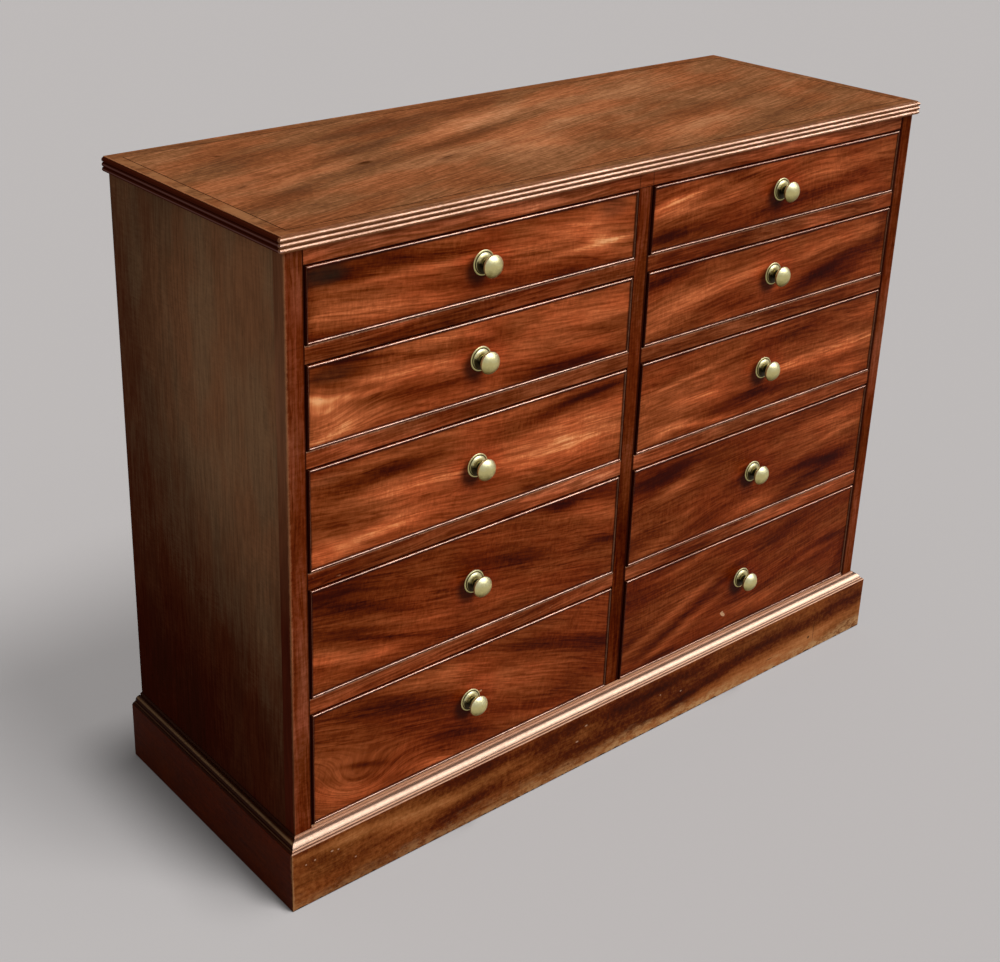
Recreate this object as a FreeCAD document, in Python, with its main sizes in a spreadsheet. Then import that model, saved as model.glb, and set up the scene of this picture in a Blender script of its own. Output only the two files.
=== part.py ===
import FreeCAD, Part
import os

import Sketcher
from FreeCAD import Vector

# A floor-standing chest of ten graduated drawers in two columns, on a moulded plinth.
# Frame: +Z up, +Y to the back, +X to the right. The origin is on the floor, under the middle of
# the overall box, which reaches from the knobs at the front to the top's back edge.

# Driving sizes in millimetres. Rows are counted from the top.
SIZES = {
    "carcase_width": 1134,
    "carcase_depth": 404,
    "side_thickness": 19,
    "side_guide_thickness": 7,
    "stile_depth": 22,
    "partition_thickness": 19,
    "partition_guide_thickness": 3,
    "rail_depth": 70,
    "divider_thickness": 23,
    "top_rail_height": 20,
    "opening_height_1": 97,
    "opening_height_2": 110,
    "opening_height_3": 140,
    "opening_height_4": 157,
    "opening_height_5": 170,
    "tail_count_1": 3,
    "tail_count_2": 3,
    "tail_count_3": 4,
    "tail_count_4": 5,
    "tail_count_5": 5,
    "bottom_thickness": 18,
    "bottom_housing": 6,
    "back_thickness": 10,
    "back_rebate": 9,
    "side_foot_gap": 6,
    "arris_radius": 1.2,
    "tenon_length": 10,
    "tenon_thickness": 8,
    "tenon_shoulder": 4,
    "runner_width": 24,
    "guide_height": 14,
    "stop_length": 30,
    "stop_depth": 12,
    "stop_inset": 60,
    "stop_clearance": 4,
    "plinth_height": 90,
    "plinth_thickness": 17,
    "block_size": 30,
    "block_length": 80,
    "base_reveal": 4,
    "moulding_height": 14,
    "moulding_ledge": 0.6,
    "moulding_bead": 3,
    "moulding_bead_rise": 0.95,
    "moulding_quirk": 0.7,
    "moulding_quirk_fall": 1,
    "moulding_ovolo_rise": 2.6,
    "moulding_reed_out": 2.9,
    "moulding_reed_fall": 1.8,
    "moulding_reed_rise": 0.9,
    "slab_thickness": 20,
    "slab_front_overhang": 6,
    "slab_side_overhang": 7.5,
    "slab_back_overhang": 4,
    "slab_quirk": 1.2,
    "border_inset": 5,
    "banding_width": 14.5,
    "string_width": 1.5,
    "inlay_depth": 1.5,
    "drawer_side_gap": 1.2,
    "drawer_top_gap": 1.6,
    "drawer_lift": 0.8,
    "drawer_back_gap": 16,
    "front_thickness": 22,
    "front_lap": 8,
    "cock_bead_thickness": 3.2,
    "cock_bead_proud": 1.8,
    "drawer_side_thickness": 9,
    "drawer_back_thickness": 9,
    "drawer_bottom_thickness": 6,
    "side_top_gap": 3,
    "back_drop": 8,
    "groove_margin": 1.4,
    "groove_depth": 5,
    "pin_width": 7,
    "dovetail_slope": 0.15,
    "back_pin_margin": 3,
    "knob_projection": 27,
    "knob_diameter": 30,
    "knob_dome_height": 8.2,
    "knob_back_height": 5.4,
    "knob_back_diameter": 21,
    "knob_back_rise": 1.2,
    "knob_flare_height": 2.4,
    "knob_flare_rise": 0.7,
    "knob_rim_radius": 2.5,
    "knob_neck_diameter": 9.5,
    "knob_collar_diameter": 13,
    "knob_collar_height": 1.6,
    "knob_collar_rise": 0.7,
    "rose_diameter": 33,
    "rose_height": 4.6,
    "rose_seat_diameter": 15,
    "rose_dome_rise": 0.9,
    "rose_rim_width": 2.2,
    "rose_rim_height": 1.1,
    "rose_rim_edge": 0.4,
    "rose_rim_rise": 0.3,
    "rose_quirk": 0.5,
    "stud_diameter": 6,
    "stud_clearance": 0.3,
    "stud_end": 2.5,
    "nut_width": 13,
    "nut_thickness": 4,
    "thread_clearance": 0.05,
}

ROWS = (1, 2, 3, 4, 5)
SLAB_REEDS = 3
BACK_BOARDS = 6
# How far a rounded nose swells, as a share of its width; a full half round would be a half.
NOSE_SHARE = 0.46

# Everything below is worked out from the sizes.
LAYOUT = {
    "half_width": "Sizes.carcase_width / 2",
    "stile_width": "Sizes.side_thickness + Sizes.side_guide_thickness",
    "muntin_width": "Sizes.partition_thickness + 2 * Sizes.partition_guide_thickness",
    "front_y": "(Sizes.knob_projection - Sizes.carcase_depth - Sizes.slab_back_overhang) / 2",
    "back_y": "front_y + Sizes.carcase_depth",
    "panel_y": "back_y - Sizes.back_thickness",
    "stile_back_y": "front_y + Sizes.stile_depth",
    "rail_back_y": "front_y + Sizes.rail_depth",
    "tenon_y": "front_y + (Sizes.stile_depth - Sizes.tenon_thickness) / 2",
    "side_inner_x": "half_width - Sizes.side_thickness",
    "housing_x": "side_inner_x + Sizes.bottom_housing",
    "rebate_x": "side_inner_x + Sizes.back_rebate",
    "stile_inner_x": "half_width - stile_width",
    "opening_width": "stile_inner_x - muntin_width / 2",
    "column_x": "(stile_inner_x + muntin_width / 2) / 2",
    "base_z": "Sizes.plinth_height + Sizes.moulding_height + Sizes.base_reveal",
    "bottom_z": "base_z - Sizes.bottom_thickness",
    "floor_5": "base_z",
    "floor_4": "floor_5 + Sizes.opening_height_5 + Sizes.divider_thickness",
    "floor_3": "floor_4 + Sizes.opening_height_4 + Sizes.divider_thickness",
    "floor_2": "floor_3 + Sizes.opening_height_3 + Sizes.divider_thickness",
    "floor_1": "floor_2 + Sizes.opening_height_2 + Sizes.divider_thickness",
    "top_rail_z": "floor_1 + Sizes.opening_height_1",
    "slab_z": "top_rail_z + Sizes.top_rail_height",
    "top_z": "slab_z + Sizes.slab_thickness",
    "slab_front_y": "front_y - Sizes.slab_front_overhang",
    "slab_back_y": "back_y + Sizes.slab_back_overhang",
    "slab_x": "half_width + Sizes.slab_side_overhang",
    "reed_pitch": f"(Sizes.slab_thickness - Sizes.slab_quirk) / {SLAB_REEDS}",
    "reed_rise": f"reed_pitch * {NOSE_SHARE}",
    "arris_y": "slab_front_y + reed_rise",
    "arris_x": "slab_x - reed_rise",
    "banding_x": "slab_x - Sizes.border_inset",
    "banding_front_y": "slab_front_y + Sizes.border_inset",
    "banding_back_y": "slab_back_y - Sizes.border_inset",
    "inlay_z": "top_z - Sizes.inlay_depth",
    "plinth_x": "half_width + Sizes.plinth_thickness",
    "plinth_front_y": "front_y - Sizes.plinth_thickness",
    "ovolo_out": "Sizes.plinth_thickness - Sizes.moulding_ledge - Sizes.moulding_bead"
                 " + 2 * Sizes.moulding_quirk - 2 * Sizes.moulding_reed_out",
    "ovolo_fall": "Sizes.moulding_height - Sizes.moulding_bead - 2 * Sizes.moulding_quirk_fall"
                  " - 2 * Sizes.moulding_reed_fall",
    "block_height": "bottom_z - Sizes.side_foot_gap",
    "block_spacing": "side_inner_x / 2",
    "drawer_length": "Sizes.carcase_depth - Sizes.back_thickness - Sizes.drawer_back_gap",
    "drawer_half_width": "opening_width / 2 - Sizes.drawer_side_gap",
    "drawer_inner_x": "drawer_half_width - Sizes.drawer_side_thickness",
    "panel_half_width": "drawer_inner_x + Sizes.groove_depth",
    "front_pin_base": "Sizes.pin_width / 2"
                      " + Sizes.dovetail_slope * (Sizes.front_thickness - Sizes.front_lap)",
    "groove_height": "Sizes.pin_width / 2 + front_pin_base + Sizes.groove_margin",
    "stop_height": "groove_height - Sizes.stop_clearance",
    "panel_top": "groove_height + Sizes.drawer_bottom_thickness",
    "back_pin_base": "Sizes.pin_width / 2 + Sizes.dovetail_slope * Sizes.drawer_back_thickness",
    "back_pin_inset": "back_pin_base + Sizes.back_pin_margin",
    "drawer_back_y": "drawer_length - Sizes.drawer_back_thickness",
    "cock_bead_nose": f"Sizes.cock_bead_thickness * {NOSE_SHARE}",
    "stud_y": "Sizes.front_thickness + Sizes.nut_thickness + Sizes.stud_end",
    "stud_radius": "Sizes.stud_diameter / 2",
    "stud_hole_radius": "stud_radius + Sizes.stud_clearance",
    "knob_radius": "Sizes.knob_diameter / 2",
    "knob_dome_radius": "(knob_radius^2 + Sizes.knob_dome_height^2) / (2 * Sizes.knob_dome_height)",
    "knob_dome_rise": "knob_dome_radius - sqrt(knob_dome_radius^2"
                      " - (knob_radius^2 + Sizes.knob_dome_height^2) / 4)",
    "knob_widest_y": "Sizes.knob_dome_height - Sizes.knob_projection",
    "knob_back_y": "knob_widest_y + Sizes.knob_back_height",
    "knob_neck_y": "knob_back_y + Sizes.knob_flare_height",
    "knob_neck_radius": "Sizes.knob_neck_diameter / 2",
    "knob_collar_y": "-Sizes.rose_height - Sizes.knob_collar_height",
    "knob_collar_edge": "Sizes.knob_collar_diameter / 2 - Sizes.knob_collar_rise",
    "rose_radius": "Sizes.rose_diameter / 2",
    "rose_rim_inner": "rose_radius - Sizes.rose_rim_width",
    "rose_dome_outer": "rose_rim_inner - Sizes.rose_quirk",
    "rose_groove_y": "Sizes.rose_quirk - Sizes.rose_rim_height",
}

doc = FreeCAD.newDocument("ChestOfDrawers")


def fill_sheet(name, rows):
    """Writes one named value on each row of a new sheet."""
    sheet = doc.addObject("Spreadsheet::Sheet", name)
    for row, (alias, content) in enumerate(rows.items(), start=1):
        sheet.set(f"A{row}", alias)
        sheet.set(f"B{row}", content)
        sheet.setAlias(f"B{row}", alias)
    return sheet


fill_sheet("Sizes", {alias: str(number) for alias, number in SIZES.items()})
for row in ROWS:
    height = f"Sizes.opening_height_{row}"
    LAYOUT[f"front_height_{row}"] = f"{height} - Sizes.drawer_lift - Sizes.drawer_top_gap"
    LAYOUT[f"side_height_{row}"] = f"{height} - Sizes.side_top_gap"
    LAYOUT[f"back_height_{row}"] = f"side_height_{row} - Sizes.back_drop - panel_top"
layout = fill_sheet("Layout", {alias: "=" + formula for alias, formula in LAYOUT.items()})
doc.recompute()


def value(expression):
    """The number that an expression gives now."""
    result = layout.evalExpression(expression)
    return float(getattr(result, "Value", result))


def bind(item, **expressions):
    """Ties properties to expressions; a double underscore stands for a dot in a path."""
    for path, expression in expressions.items():
        item.setExpression(path.replace("__", "."), expression)
    return item


def place(item, x="0", y="0", z="0"):
    """Ties an object's position to expressions."""
    return bind(item, Placement__Base__x=x, Placement__Base__y=y, Placement__Base__z=z)


def box(name, low, size):
    """A plain squared piece with its low corner and its size along X, Y and Z."""
    item = doc.addObject("Part::Box", name)
    bind(item, Length=size[0], Width=size[1], Height=size[2])
    return place(item, *low)


def origin_plane(body, role):
    """One of a body's own base planes."""
    return next(item for item in body.Origin.OriginFeatures if item.Role == role)


def profile(body, name, role, points, offset="0"):
    """A closed sketch on a base plane of its body.

    Each point is (x, y) or (x, y, rise). A rise makes the edge that leaves the point an arc that
    swells to the right of the way it runs, by that much at its middle.
    """
    sketch = body.newObject("Sketcher::SketchObject", name)
    sketch.AttachmentSupport = (origin_plane(body, role), [""])
    sketch.MapMode = "FlatFace"
    bind(sketch, AttachmentOffset__Base__z=offset)
    corners = [Vector(value(point[0]), value(point[1]), 0) for point in points]
    count = len(points)
    for index, point in enumerate(points):
        start, end = corners[index], corners[(index + 1) % count]
        if len(point) == 2:
            sketch.addGeometry(Part.LineSegment(start, end), False)
            continue
        run = end - start
        outward = Vector(run.y, -run.x, 0).normalize()
        rise = value(point[2])
        middle = (start + end) * 0.5 + outward * rise
        if rise < 0:
            start, end = end, start
        sketch.addGeometry(Part.Arc(start, middle, end), False)
    for index, point in enumerate(points):
        following = (index + 1) % count
        bulged, next_bulged = len(point) == 3, len(points[following]) == 3
        tail = arc_end(sketch, index, corners[following]) if bulged else 2
        head = arc_end(sketch, following, corners[following]) if next_bulged else 1
        sketch.addConstraint(Sketcher.Constraint("Coincident", index, tail, following, head))
    for index, point in enumerate(points):
        start = arc_end(sketch, index, corners[index]) if len(point) == 3 else 1
        for kind, axis in (("DistanceX", 0), ("DistanceY", 1)):
            number = sketch.addConstraint(
                Sketcher.Constraint(kind, -1, 1, index, start, corners[index][axis]))
            sketch.setExpression(f"Constraints[{number}]", point[axis])
        if len(point) == 3:
            ahead = points[(index + 1) % count]
            chord = f"(({ahead[0]}) - ({point[0]}))^2 + (({ahead[1]}) - ({point[1]}))^2"
            number = sketch.addConstraint(
                Sketcher.Constraint("Radius", index, sketch.Geometry[index].Radius))
            sketch.setExpression(f"Constraints[{number}]",
                                 f"abs(({chord}) / (8 * ({point[2]})) + ({point[2]}) / 2)")
    return sketch


def arc_end(sketch, index, corner):
    """Which end of an arc, 1 or 2, lies at a corner."""
    arc = sketch.Geometry[index]
    return 1 if arc.StartPoint.distanceToPoint(corner) < arc.EndPoint.distanceToPoint(corner) else 2


def pad(body, sketch, length, middle=False, backwards=False):
    """Thickens a sketch; middle does so evenly to both sides of its plane."""
    feature = body.newObject("PartDesign::Pad", sketch.Name + "_pad")
    feature.Profile = sketch
    feature.Midplane = middle
    feature.Reversed = backwards
    bind(feature, Length=length)
    return feature


def extruded(name, role, points, length, offset="0", middle=False, backwards=False):
    """A body made by thickening one closed sketch."""
    body = doc.addObject("PartDesign::Body", name)
    sketch = profile(body, name + "_outline", role, points, offset)
    pad(body, sketch, length, middle, backwards)
    return body


def turned(name, points):
    """A body turned about the Y axis from a half profile of (radius, y) points."""
    body = doc.addObject("PartDesign::Body", name)
    sketch = profile(body, name + "_outline", "XY_Plane", points)
    feature = body.newObject("PartDesign::Revolution", name + "_turning")
    feature.Profile = sketch
    feature.ReferenceAxis = (sketch, ["V_Axis"])
    feature.Angle = 360
    return body


def round_edges(body, radius, chosen):
    """Rounds the edges of a body for which chosen(edge) is true."""
    doc.recompute()
    last = body.Tip
    names = [f"Edge{number}" for number, edge in enumerate(last.Shape.Edges, 1) if chosen(edge)]
    feature = body.newObject("PartDesign::Fillet", body.Name + "_rounding")
    feature.Base = (last, names)
    bind(feature, Radius=radius)
    return body


def group(name, pieces):
    """Several solids kept together, each as it is."""
    item = doc.addObject("Part::Compound", name)
    item.Links = pieces
    return item


def mirrored(name, source):
    """The same piece on the other side of the middle plane."""
    item = doc.addObject("Part::Mirroring", name)
    item.Source = source
    item.Base = Vector(0, 0, 0)
    item.Normal = Vector(1, 0, 0)
    return item


def pair(name, source):
    """A piece and its mirror image."""
    return group(name, [source, mirrored(name + "_right", source)])


def cut(name, base, *tools):
    """A piece with its neighbours' shapes taken out of it."""
    item = doc.addObject("Part::Cut", name)
    item.Base = base
    item.Tool = tools[0] if len(tools) == 1 else group(name + "_neighbours", list(tools))
    return item


def common(name, first, second):
    """What two shapes share."""
    item = doc.addObject("Part::Common", name)
    item.Base = first
    item.Tool = second
    return item


nodes = []


def node(label, item):
    """Names a finished sub-part."""
    item.Label = label
    nodes.append(item)
    return item


def is_level_line(edge, axis):
    """Whether an edge is straight and runs along one axis."""
    if not isinstance(edge.Curve, Part.Line):
        return False
    return abs(edge.Curve.Direction[axis]) > 0.999


# The front rails: eight dividers between the drawers and one top rail.
def rail_plan(near_x, far_x, near_rear_x, far_rear_x):
    """Plan of a rail whose back part is wider, because it passes behind the uprights."""
    front, middle, rear = "Layout.front_y", "Layout.stile_back_y", "Layout.rail_back_y"
    return [(near_x, front), (far_x, front), (far_x, middle), (far_rear_x, middle),
            (far_rear_x, rear), (near_rear_x, rear), (near_rear_x, middle), (near_x, middle)]


def tenoned_rail(name, near_x, far_x, near_rear_x, far_rear_x, height):
    """A rail with a stub tenon at each end of its front part."""
    body = extruded(name, "XY_Plane", rail_plan(near_x, far_x, near_rear_x, far_rear_x), height)
    low, high = "Layout.tenon_y", "Layout.tenon_y + Sizes.tenon_thickness"
    left, right = f"{near_x} - Sizes.tenon_length", f"{far_x} + Sizes.tenon_length"
    sketch = profile(body, name + "_tenons", "XY_Plane",
                     [(left, low), (right, low), (right, high), (left, high)],
                     "Sizes.tenon_shoulder")
    pad(body, sketch, f"{height} - 2 * Sizes.tenon_shoulder")
    return body


divider_blank = tenoned_rail(
    "divider_blank", "-Layout.stile_inner_x", "-Layout.muntin_width / 2",
    "-Layout.side_inner_x", "-Sizes.partition_thickness / 2", "Sizes.divider_thickness")
left_dividers = []
for row in ROWS[:-1]:
    divider = group(f"divider_{row}", [divider_blank])
    left_dividers.append(place(divider, z=f"Layout.floor_{row} - Sizes.divider_thickness"))
drawer_dividers = pair("drawer_dividers", group("left_dividers", left_dividers))
node("drawer_dividers", drawer_dividers)

top_rail = tenoned_rail("top_rail", "-Layout.stile_inner_x", "Layout.stile_inner_x",
                        "-Layout.side_inner_x", "Layout.side_inner_x", "Sizes.top_rail_height")
node("top_rail", place(top_rail, z="Layout.top_rail_z"))

# The carcase bottom lies in housings in the sides, and its front edge shows over the moulding.
carcase_bottom = extruded("carcase_bottom", "XY_Plane", [
    ("-Layout.stile_inner_x", "Layout.front_y"), ("Layout.stile_inner_x", "Layout.front_y"),
    ("Layout.stile_inner_x", "Layout.stile_back_y"), ("Layout.housing_x", "Layout.stile_back_y"),
    ("Layout.housing_x", "Layout.panel_y"), ("-Layout.housing_x", "Layout.panel_y"),
    ("-Layout.housing_x", "Layout.stile_back_y"), ("-Layout.stile_inner_x", "Layout.stile_back_y"),
], "Sizes.bottom_thickness")
node("carcase_bottom", place(carcase_bottom, z="Layout.bottom_z"))

# The sides stand behind the stiles and are rebated for the back boards.
side_blank = extruded("side_blank", "XY_Plane", [
    ("-Layout.half_width", "Layout.stile_back_y"), ("-Layout.side_inner_x", "Layout.stile_back_y"),
    ("-Layout.side_inner_x", "Layout.panel_y"), ("-Layout.rebate_x", "Layout.panel_y"),
    ("-Layout.rebate_x", "Layout.back_y"), ("-Layout.half_width", "Layout.back_y"),
], "Layout.slab_z - Sizes.side_foot_gap")
place(side_blank, z="Sizes.side_foot_gap")
side_left = node("side_left", cut("side_left", side_blank, carcase_bottom))
node("side_right", mirrored("side_right", side_left))

# Facing strips in front of the sides, mortised for the rails.
stile_blank = extruded("stile_blank", "XY_Plane", [
    ("-Layout.half_width", "Layout.front_y"), ("-Layout.stile_inner_x", "Layout.front_y"),
    ("-Layout.stile_inner_x", "Layout.stile_back_y"), ("-Layout.half_width", "Layout.stile_back_y"),
], "Layout.slab_z - Sizes.side_foot_gap")
round_edges(stile_blank, "Sizes.arris_radius", lambda edge: (
    is_level_line(edge, 2) and abs(edge.CenterOfMass.x + value("half_width")) < 0.1
    and abs(edge.CenterOfMass.y - value("front_y")) < 0.1))
place(stile_blank, z="Sizes.side_foot_gap")
stile_left = node("stile_left", cut("stile_left", stile_blank, drawer_dividers, top_rail))
node("stile_right", mirrored("stile_right", stile_left))

# The centre upright is a partition board with a wider facing in front of it.
muntin_blank = box("muntin_blank", ("-Layout.muntin_width / 2", "Layout.front_y", "Layout.base_z"),
                   ("Layout.muntin_width", "Sizes.stile_depth", "Layout.top_rail_z - Layout.base_z"))
node("centre_muntin", cut("centre_muntin", muntin_blank, drawer_dividers))
partition_blank = box(
    "partition_blank",
    ("-Sizes.partition_thickness / 2", "Layout.stile_back_y", "Layout.base_z"),
    ("Sizes.partition_thickness", "Layout.panel_y - Layout.stile_back_y",
     "Layout.slab_z - Layout.base_z"))
node("centre_partition", cut("centre_partition", partition_blank, top_rail))


# Strips inside the carcase: runners carry the drawers, kickers lie over the top row, and guides
# keep the drawer sides off the carcase sides.
def strip(name, x, width, y, z, height):
    """A strip that runs back from y to the back boards."""
    return box(name, (x, y, z), (width, f"Layout.panel_y - {y}", height))


outer_runner_x = "-Layout.side_inner_x"
inner_runner_x = "-Sizes.partition_thickness / 2 - Sizes.runner_width"
runners = []
guides = []
stops = []
for row in ROWS:
    floor_z = f"Layout.floor_{row}"
    if row == ROWS[-1]:
        level_z, level_height = "Layout.top_rail_z", "Sizes.top_rail_height"
    else:
        level_z, level_height = f"{floor_z} - Sizes.divider_thickness", "Sizes.divider_thickness"
    for edge, x in (("outer", outer_runner_x), ("inner", inner_runner_x)):
        runners.append(strip(f"{edge}_runner_{row}", x, "Sizes.runner_width",
                             "Layout.rail_back_y", level_z, level_height))
    guides.append(strip(f"outer_guide_{row}", outer_runner_x, "Sizes.side_guide_thickness",
                        "Layout.stile_back_y", floor_z, "Sizes.guide_height"))
    guides.append(strip(f"inner_guide_{row}", "-Layout.muntin_width / 2",
                        "Sizes.partition_guide_thickness", "Layout.stile_back_y", floor_z,
                        "Sizes.guide_height"))
    stop_y = "Layout.front_y + Sizes.front_thickness"
    for edge, x in (("outer", "-Layout.stile_inner_x + Sizes.stop_inset"),
                    ("inner", "-Layout.muntin_width / 2 - Sizes.stop_inset - Sizes.stop_length")):
        stops.append(box(f"{edge}_stop_{row}", (x, stop_y, floor_z),
                         ("Sizes.stop_length", "Sizes.stop_depth", "Layout.stop_height")))
node("drawer_runners", pair("drawer_runners", group("left_runners", runners + guides)))
node("drawer_stops", pair("drawer_stops", group("left_stops", stops)))

# Vertical boards close the back.
back_boards = []
board_width = f"2 * Layout.rebate_x / {BACK_BOARDS}"
for number in range(BACK_BOARDS):
    back_boards.append(box(
        f"back_board_{number}",
        (f"-Layout.rebate_x + {number} * {board_width}", "Layout.panel_y", "Layout.bottom_z"),
        (board_width, "Sizes.back_thickness", "Layout.slab_z - Layout.bottom_z")))
node("back_boards", group("back_boards", back_boards))


# The plinth: mitred boards planted on the carcase, with a mitred moulding on their top edge.
front_mitred_plan = [
    ("-Layout.half_width", "Layout.front_y"), ("-Layout.plinth_x", "Layout.plinth_front_y"),
    ("Layout.plinth_x", "Layout.plinth_front_y"), ("Layout.half_width", "Layout.front_y")]
side_mitred_plan = [
    ("-Layout.half_width", "Layout.front_y"), ("-Layout.half_width", "Layout.back_y"),
    ("-Layout.plinth_x", "Layout.back_y"), ("-Layout.plinth_x", "Layout.plinth_front_y")]
node("plinth_front", extruded("plinth_front", "XY_Plane", front_mitred_plan,
                              "Sizes.plinth_height"))
plinth_left = node("plinth_left", extruded("plinth_left", "XY_Plane", side_mitred_plan,
                                           "Sizes.plinth_height"))
node("plinth_right", mirrored("plinth_right", plinth_left))


def moulding_outline(face):
    """Section of the plinth moulding against a carcase face: a bead, an ovolo and two reeds.

    It steps out and down from the face, towards lower values of the sketch's first axis.
    """
    quirk = [("-Sizes.moulding_quirk", "0"), ("0", "Sizes.moulding_quirk_fall")]
    reed = ("Sizes.moulding_reed_out", "Sizes.moulding_reed_fall", "Sizes.moulding_reed_rise")
    moves = [("Sizes.moulding_bead", "Sizes.moulding_bead", "Sizes.moulding_bead_rise"), *quirk,
             ("Layout.ovolo_out", "Layout.ovolo_fall", "Sizes.moulding_ovolo_rise"), *quirk,
             reed, reed]
    across, z = face, "Sizes.plinth_height + Sizes.moulding_height"
    points = []
    for out, fall, *rise in moves:
        points.append((across, z, *rise))
        across, z = f"{across} - ({out})", f"{z} - {fall}"
    points.append((across, "Sizes.plinth_height"))
    points.append((face, "Sizes.plinth_height"))
    return points


def moulding_strip(name, plan, role, face, length, offset="0", middle=False):
    """A length of moulding, mitred by the plan of the plinth board that it stands on."""
    run = extruded(name + "_run", role, moulding_outline(face), length, offset, middle)
    mitre = extruded(name + "_mitre", "XY_Plane", plan, "Sizes.moulding_height",
                     "Sizes.plinth_height")
    return common(name, run, mitre)


front_moulding = moulding_strip("front_moulding", front_mitred_plan, "YZ_Plane",
                                "Layout.front_y", "2 * Layout.plinth_x", middle=True)
left_moulding = moulding_strip("left_moulding", side_mitred_plan, "XZ_Plane",
                               "-Layout.half_width", "Layout.back_y - Layout.plinth_front_y",
                               "-Layout.back_y")
node("plinth_moulding", group("plinth_moulding", [
    front_moulding, left_moulding, mirrored("right_moulding", left_moulding)]))

# Glued blocks hold the front of the plinth under the carcase bottom, and its two corners.
blocks = []
for number, step in enumerate((-1, 0, 1)):
    blocks.append(box(f"plinth_block_{number}",
                      (f"{step} * Layout.block_spacing - Sizes.block_length / 2",
                       "Layout.front_y", "Layout.bottom_z - Sizes.block_size"),
                      ("Sizes.block_length", "Sizes.block_size", "Sizes.block_size")))
corner_block = box("corner_block",
                   ("-Layout.side_inner_x", "Layout.stile_back_y", "Sizes.side_foot_gap"),
                   ("Sizes.block_size", "Sizes.block_size", "Layout.block_height"))
node("glue_blocks", group("glue_blocks", [
    *blocks, corner_block, mirrored("corner_block_right", corner_block)]))


# The top: a slab with three reeds on its front and side edges, and an inlaid border.
def reeded_edge(across, z, step, rise):
    """Points up or down one reeded edge, one for each reed."""
    return [(across, f"{z} + {number} * ({step})", rise) for number in range(SLAB_REEDS)]


quirk_z = "Layout.top_z - Sizes.slab_quirk"
slab_length = extruded("slab_length", "YZ_Plane", [
    ("Layout.slab_back_y", "Layout.slab_z"), ("Layout.slab_back_y", "Layout.top_z"),
    ("Layout.arris_y", "Layout.top_z"),
    *reeded_edge("Layout.arris_y", quirk_z, "-Layout.reed_pitch", "Layout.reed_rise"),
    ("Layout.arris_y", "Layout.slab_z"),
], "2 * Layout.slab_x", middle=True)
slab_depth = extruded("slab_depth", "XZ_Plane", [
    ("Layout.arris_x", "Layout.top_z"), ("-Layout.arris_x", "Layout.top_z"),
    *reeded_edge("-Layout.arris_x", quirk_z, "-Layout.reed_pitch", "Layout.reed_rise"),
    ("-Layout.arris_x", "Layout.slab_z"),
    *reeded_edge("Layout.arris_x", "Layout.slab_z", "Layout.reed_pitch", "Layout.reed_rise"),
    ("Layout.arris_x", quirk_z),
], "Layout.slab_back_y - Layout.slab_front_y", "-Layout.slab_back_y")


def mitred_frame(name, inset, width):
    """Four mitred strips let into the top, inset from the banding's outer line."""
    outer = [f"Layout.banding_x - ({inset})", f"Layout.banding_front_y + ({inset})",
             f"Layout.banding_back_y - ({inset})"]
    inner = [f"{outer[0]} - ({width})", f"{outer[1]} + ({width})", f"{outer[2]} - ({width})"]
    corners = {}
    for ring, (x, front, back) in (("outer", outer), ("inner", inner)):
        corners[ring] = [(f"-({x})", front), (x, front), (x, back), (f"-({x})", back)]
    strips = []
    for number, side in enumerate(("front", "right", "back", "left")):
        first, second = number, (number + 1) % 4
        plan = [corners["outer"][first], corners["outer"][second],
                corners["inner"][second], corners["inner"][first]]
        strips.append(extruded(f"{name}_{side}", "XY_Plane", plan, "Sizes.inlay_depth",
                               "Layout.inlay_z"))
    return group(name, strips)


crossbanding = node("top_crossbanding",
                    mitred_frame("top_crossbanding", "0", "Sizes.banding_width"))
string_line = node("top_string_line",
                   mitred_frame("top_string_line", "Sizes.banding_width", "Sizes.string_width"))
node("top_board", cut("top_board", common("slab", slab_length, slab_depth),
                      crossbanding, string_line))

# Brass knobs: a turned head and stud in one piece, a turned rose and a square nut.
knob_turning = turned("knob_turning", [
    ("0", "-Sizes.knob_projection", "Layout.knob_dome_rise"),
    ("Layout.knob_radius", "Layout.knob_widest_y", "Sizes.knob_back_rise"),
    ("Sizes.knob_back_diameter / 2", "Layout.knob_back_y", "-Sizes.knob_flare_rise"),
    ("Layout.knob_neck_radius", "Layout.knob_neck_y"),
    ("Layout.knob_neck_radius", "Layout.knob_collar_y"),
    ("Layout.knob_collar_edge", "Layout.knob_collar_y", "Sizes.knob_collar_rise"),
    ("Layout.knob_collar_edge", "-Sizes.rose_height"), ("Layout.stud_radius", "-Sizes.rose_height"),
    ("Layout.stud_radius", "Layout.stud_y"), ("0", "Layout.stud_y")])
round_edges(knob_turning, "Sizes.knob_rim_radius", lambda edge: (
    edge.BoundBox.YLength < 0.01
    and abs(edge.BoundBox.XLength - value("Sizes.knob_diameter")) < 0.01))
rose = turned("knob_rose", [
    ("Layout.stud_hole_radius", "-Sizes.rose_height"),
    ("Sizes.rose_seat_diameter / 2", "-Sizes.rose_height", "Sizes.rose_dome_rise"),
    ("Layout.rose_dome_outer", "-Sizes.rose_rim_height"),
    ("Layout.rose_dome_outer", "Layout.rose_groove_y"),
    ("Layout.rose_rim_inner", "Layout.rose_groove_y"),
    ("Layout.rose_rim_inner", "-Sizes.rose_rim_height", "Sizes.rose_rim_rise"),
    ("Layout.rose_radius", "-Sizes.rose_rim_edge"), ("Layout.rose_radius", "0"),
    ("Layout.stud_hole_radius", "0")])


def bore(name, radius, depth, z):
    """A round hole along Y from the drawer face inwards."""
    hole = doc.addObject("Part::Cylinder", name)
    hole.Placement.Rotation = FreeCAD.Rotation(Vector(1, 0, 0), -90)
    bind(hole, Radius=radius, Height=depth)
    return place(hole, z=z)


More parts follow.
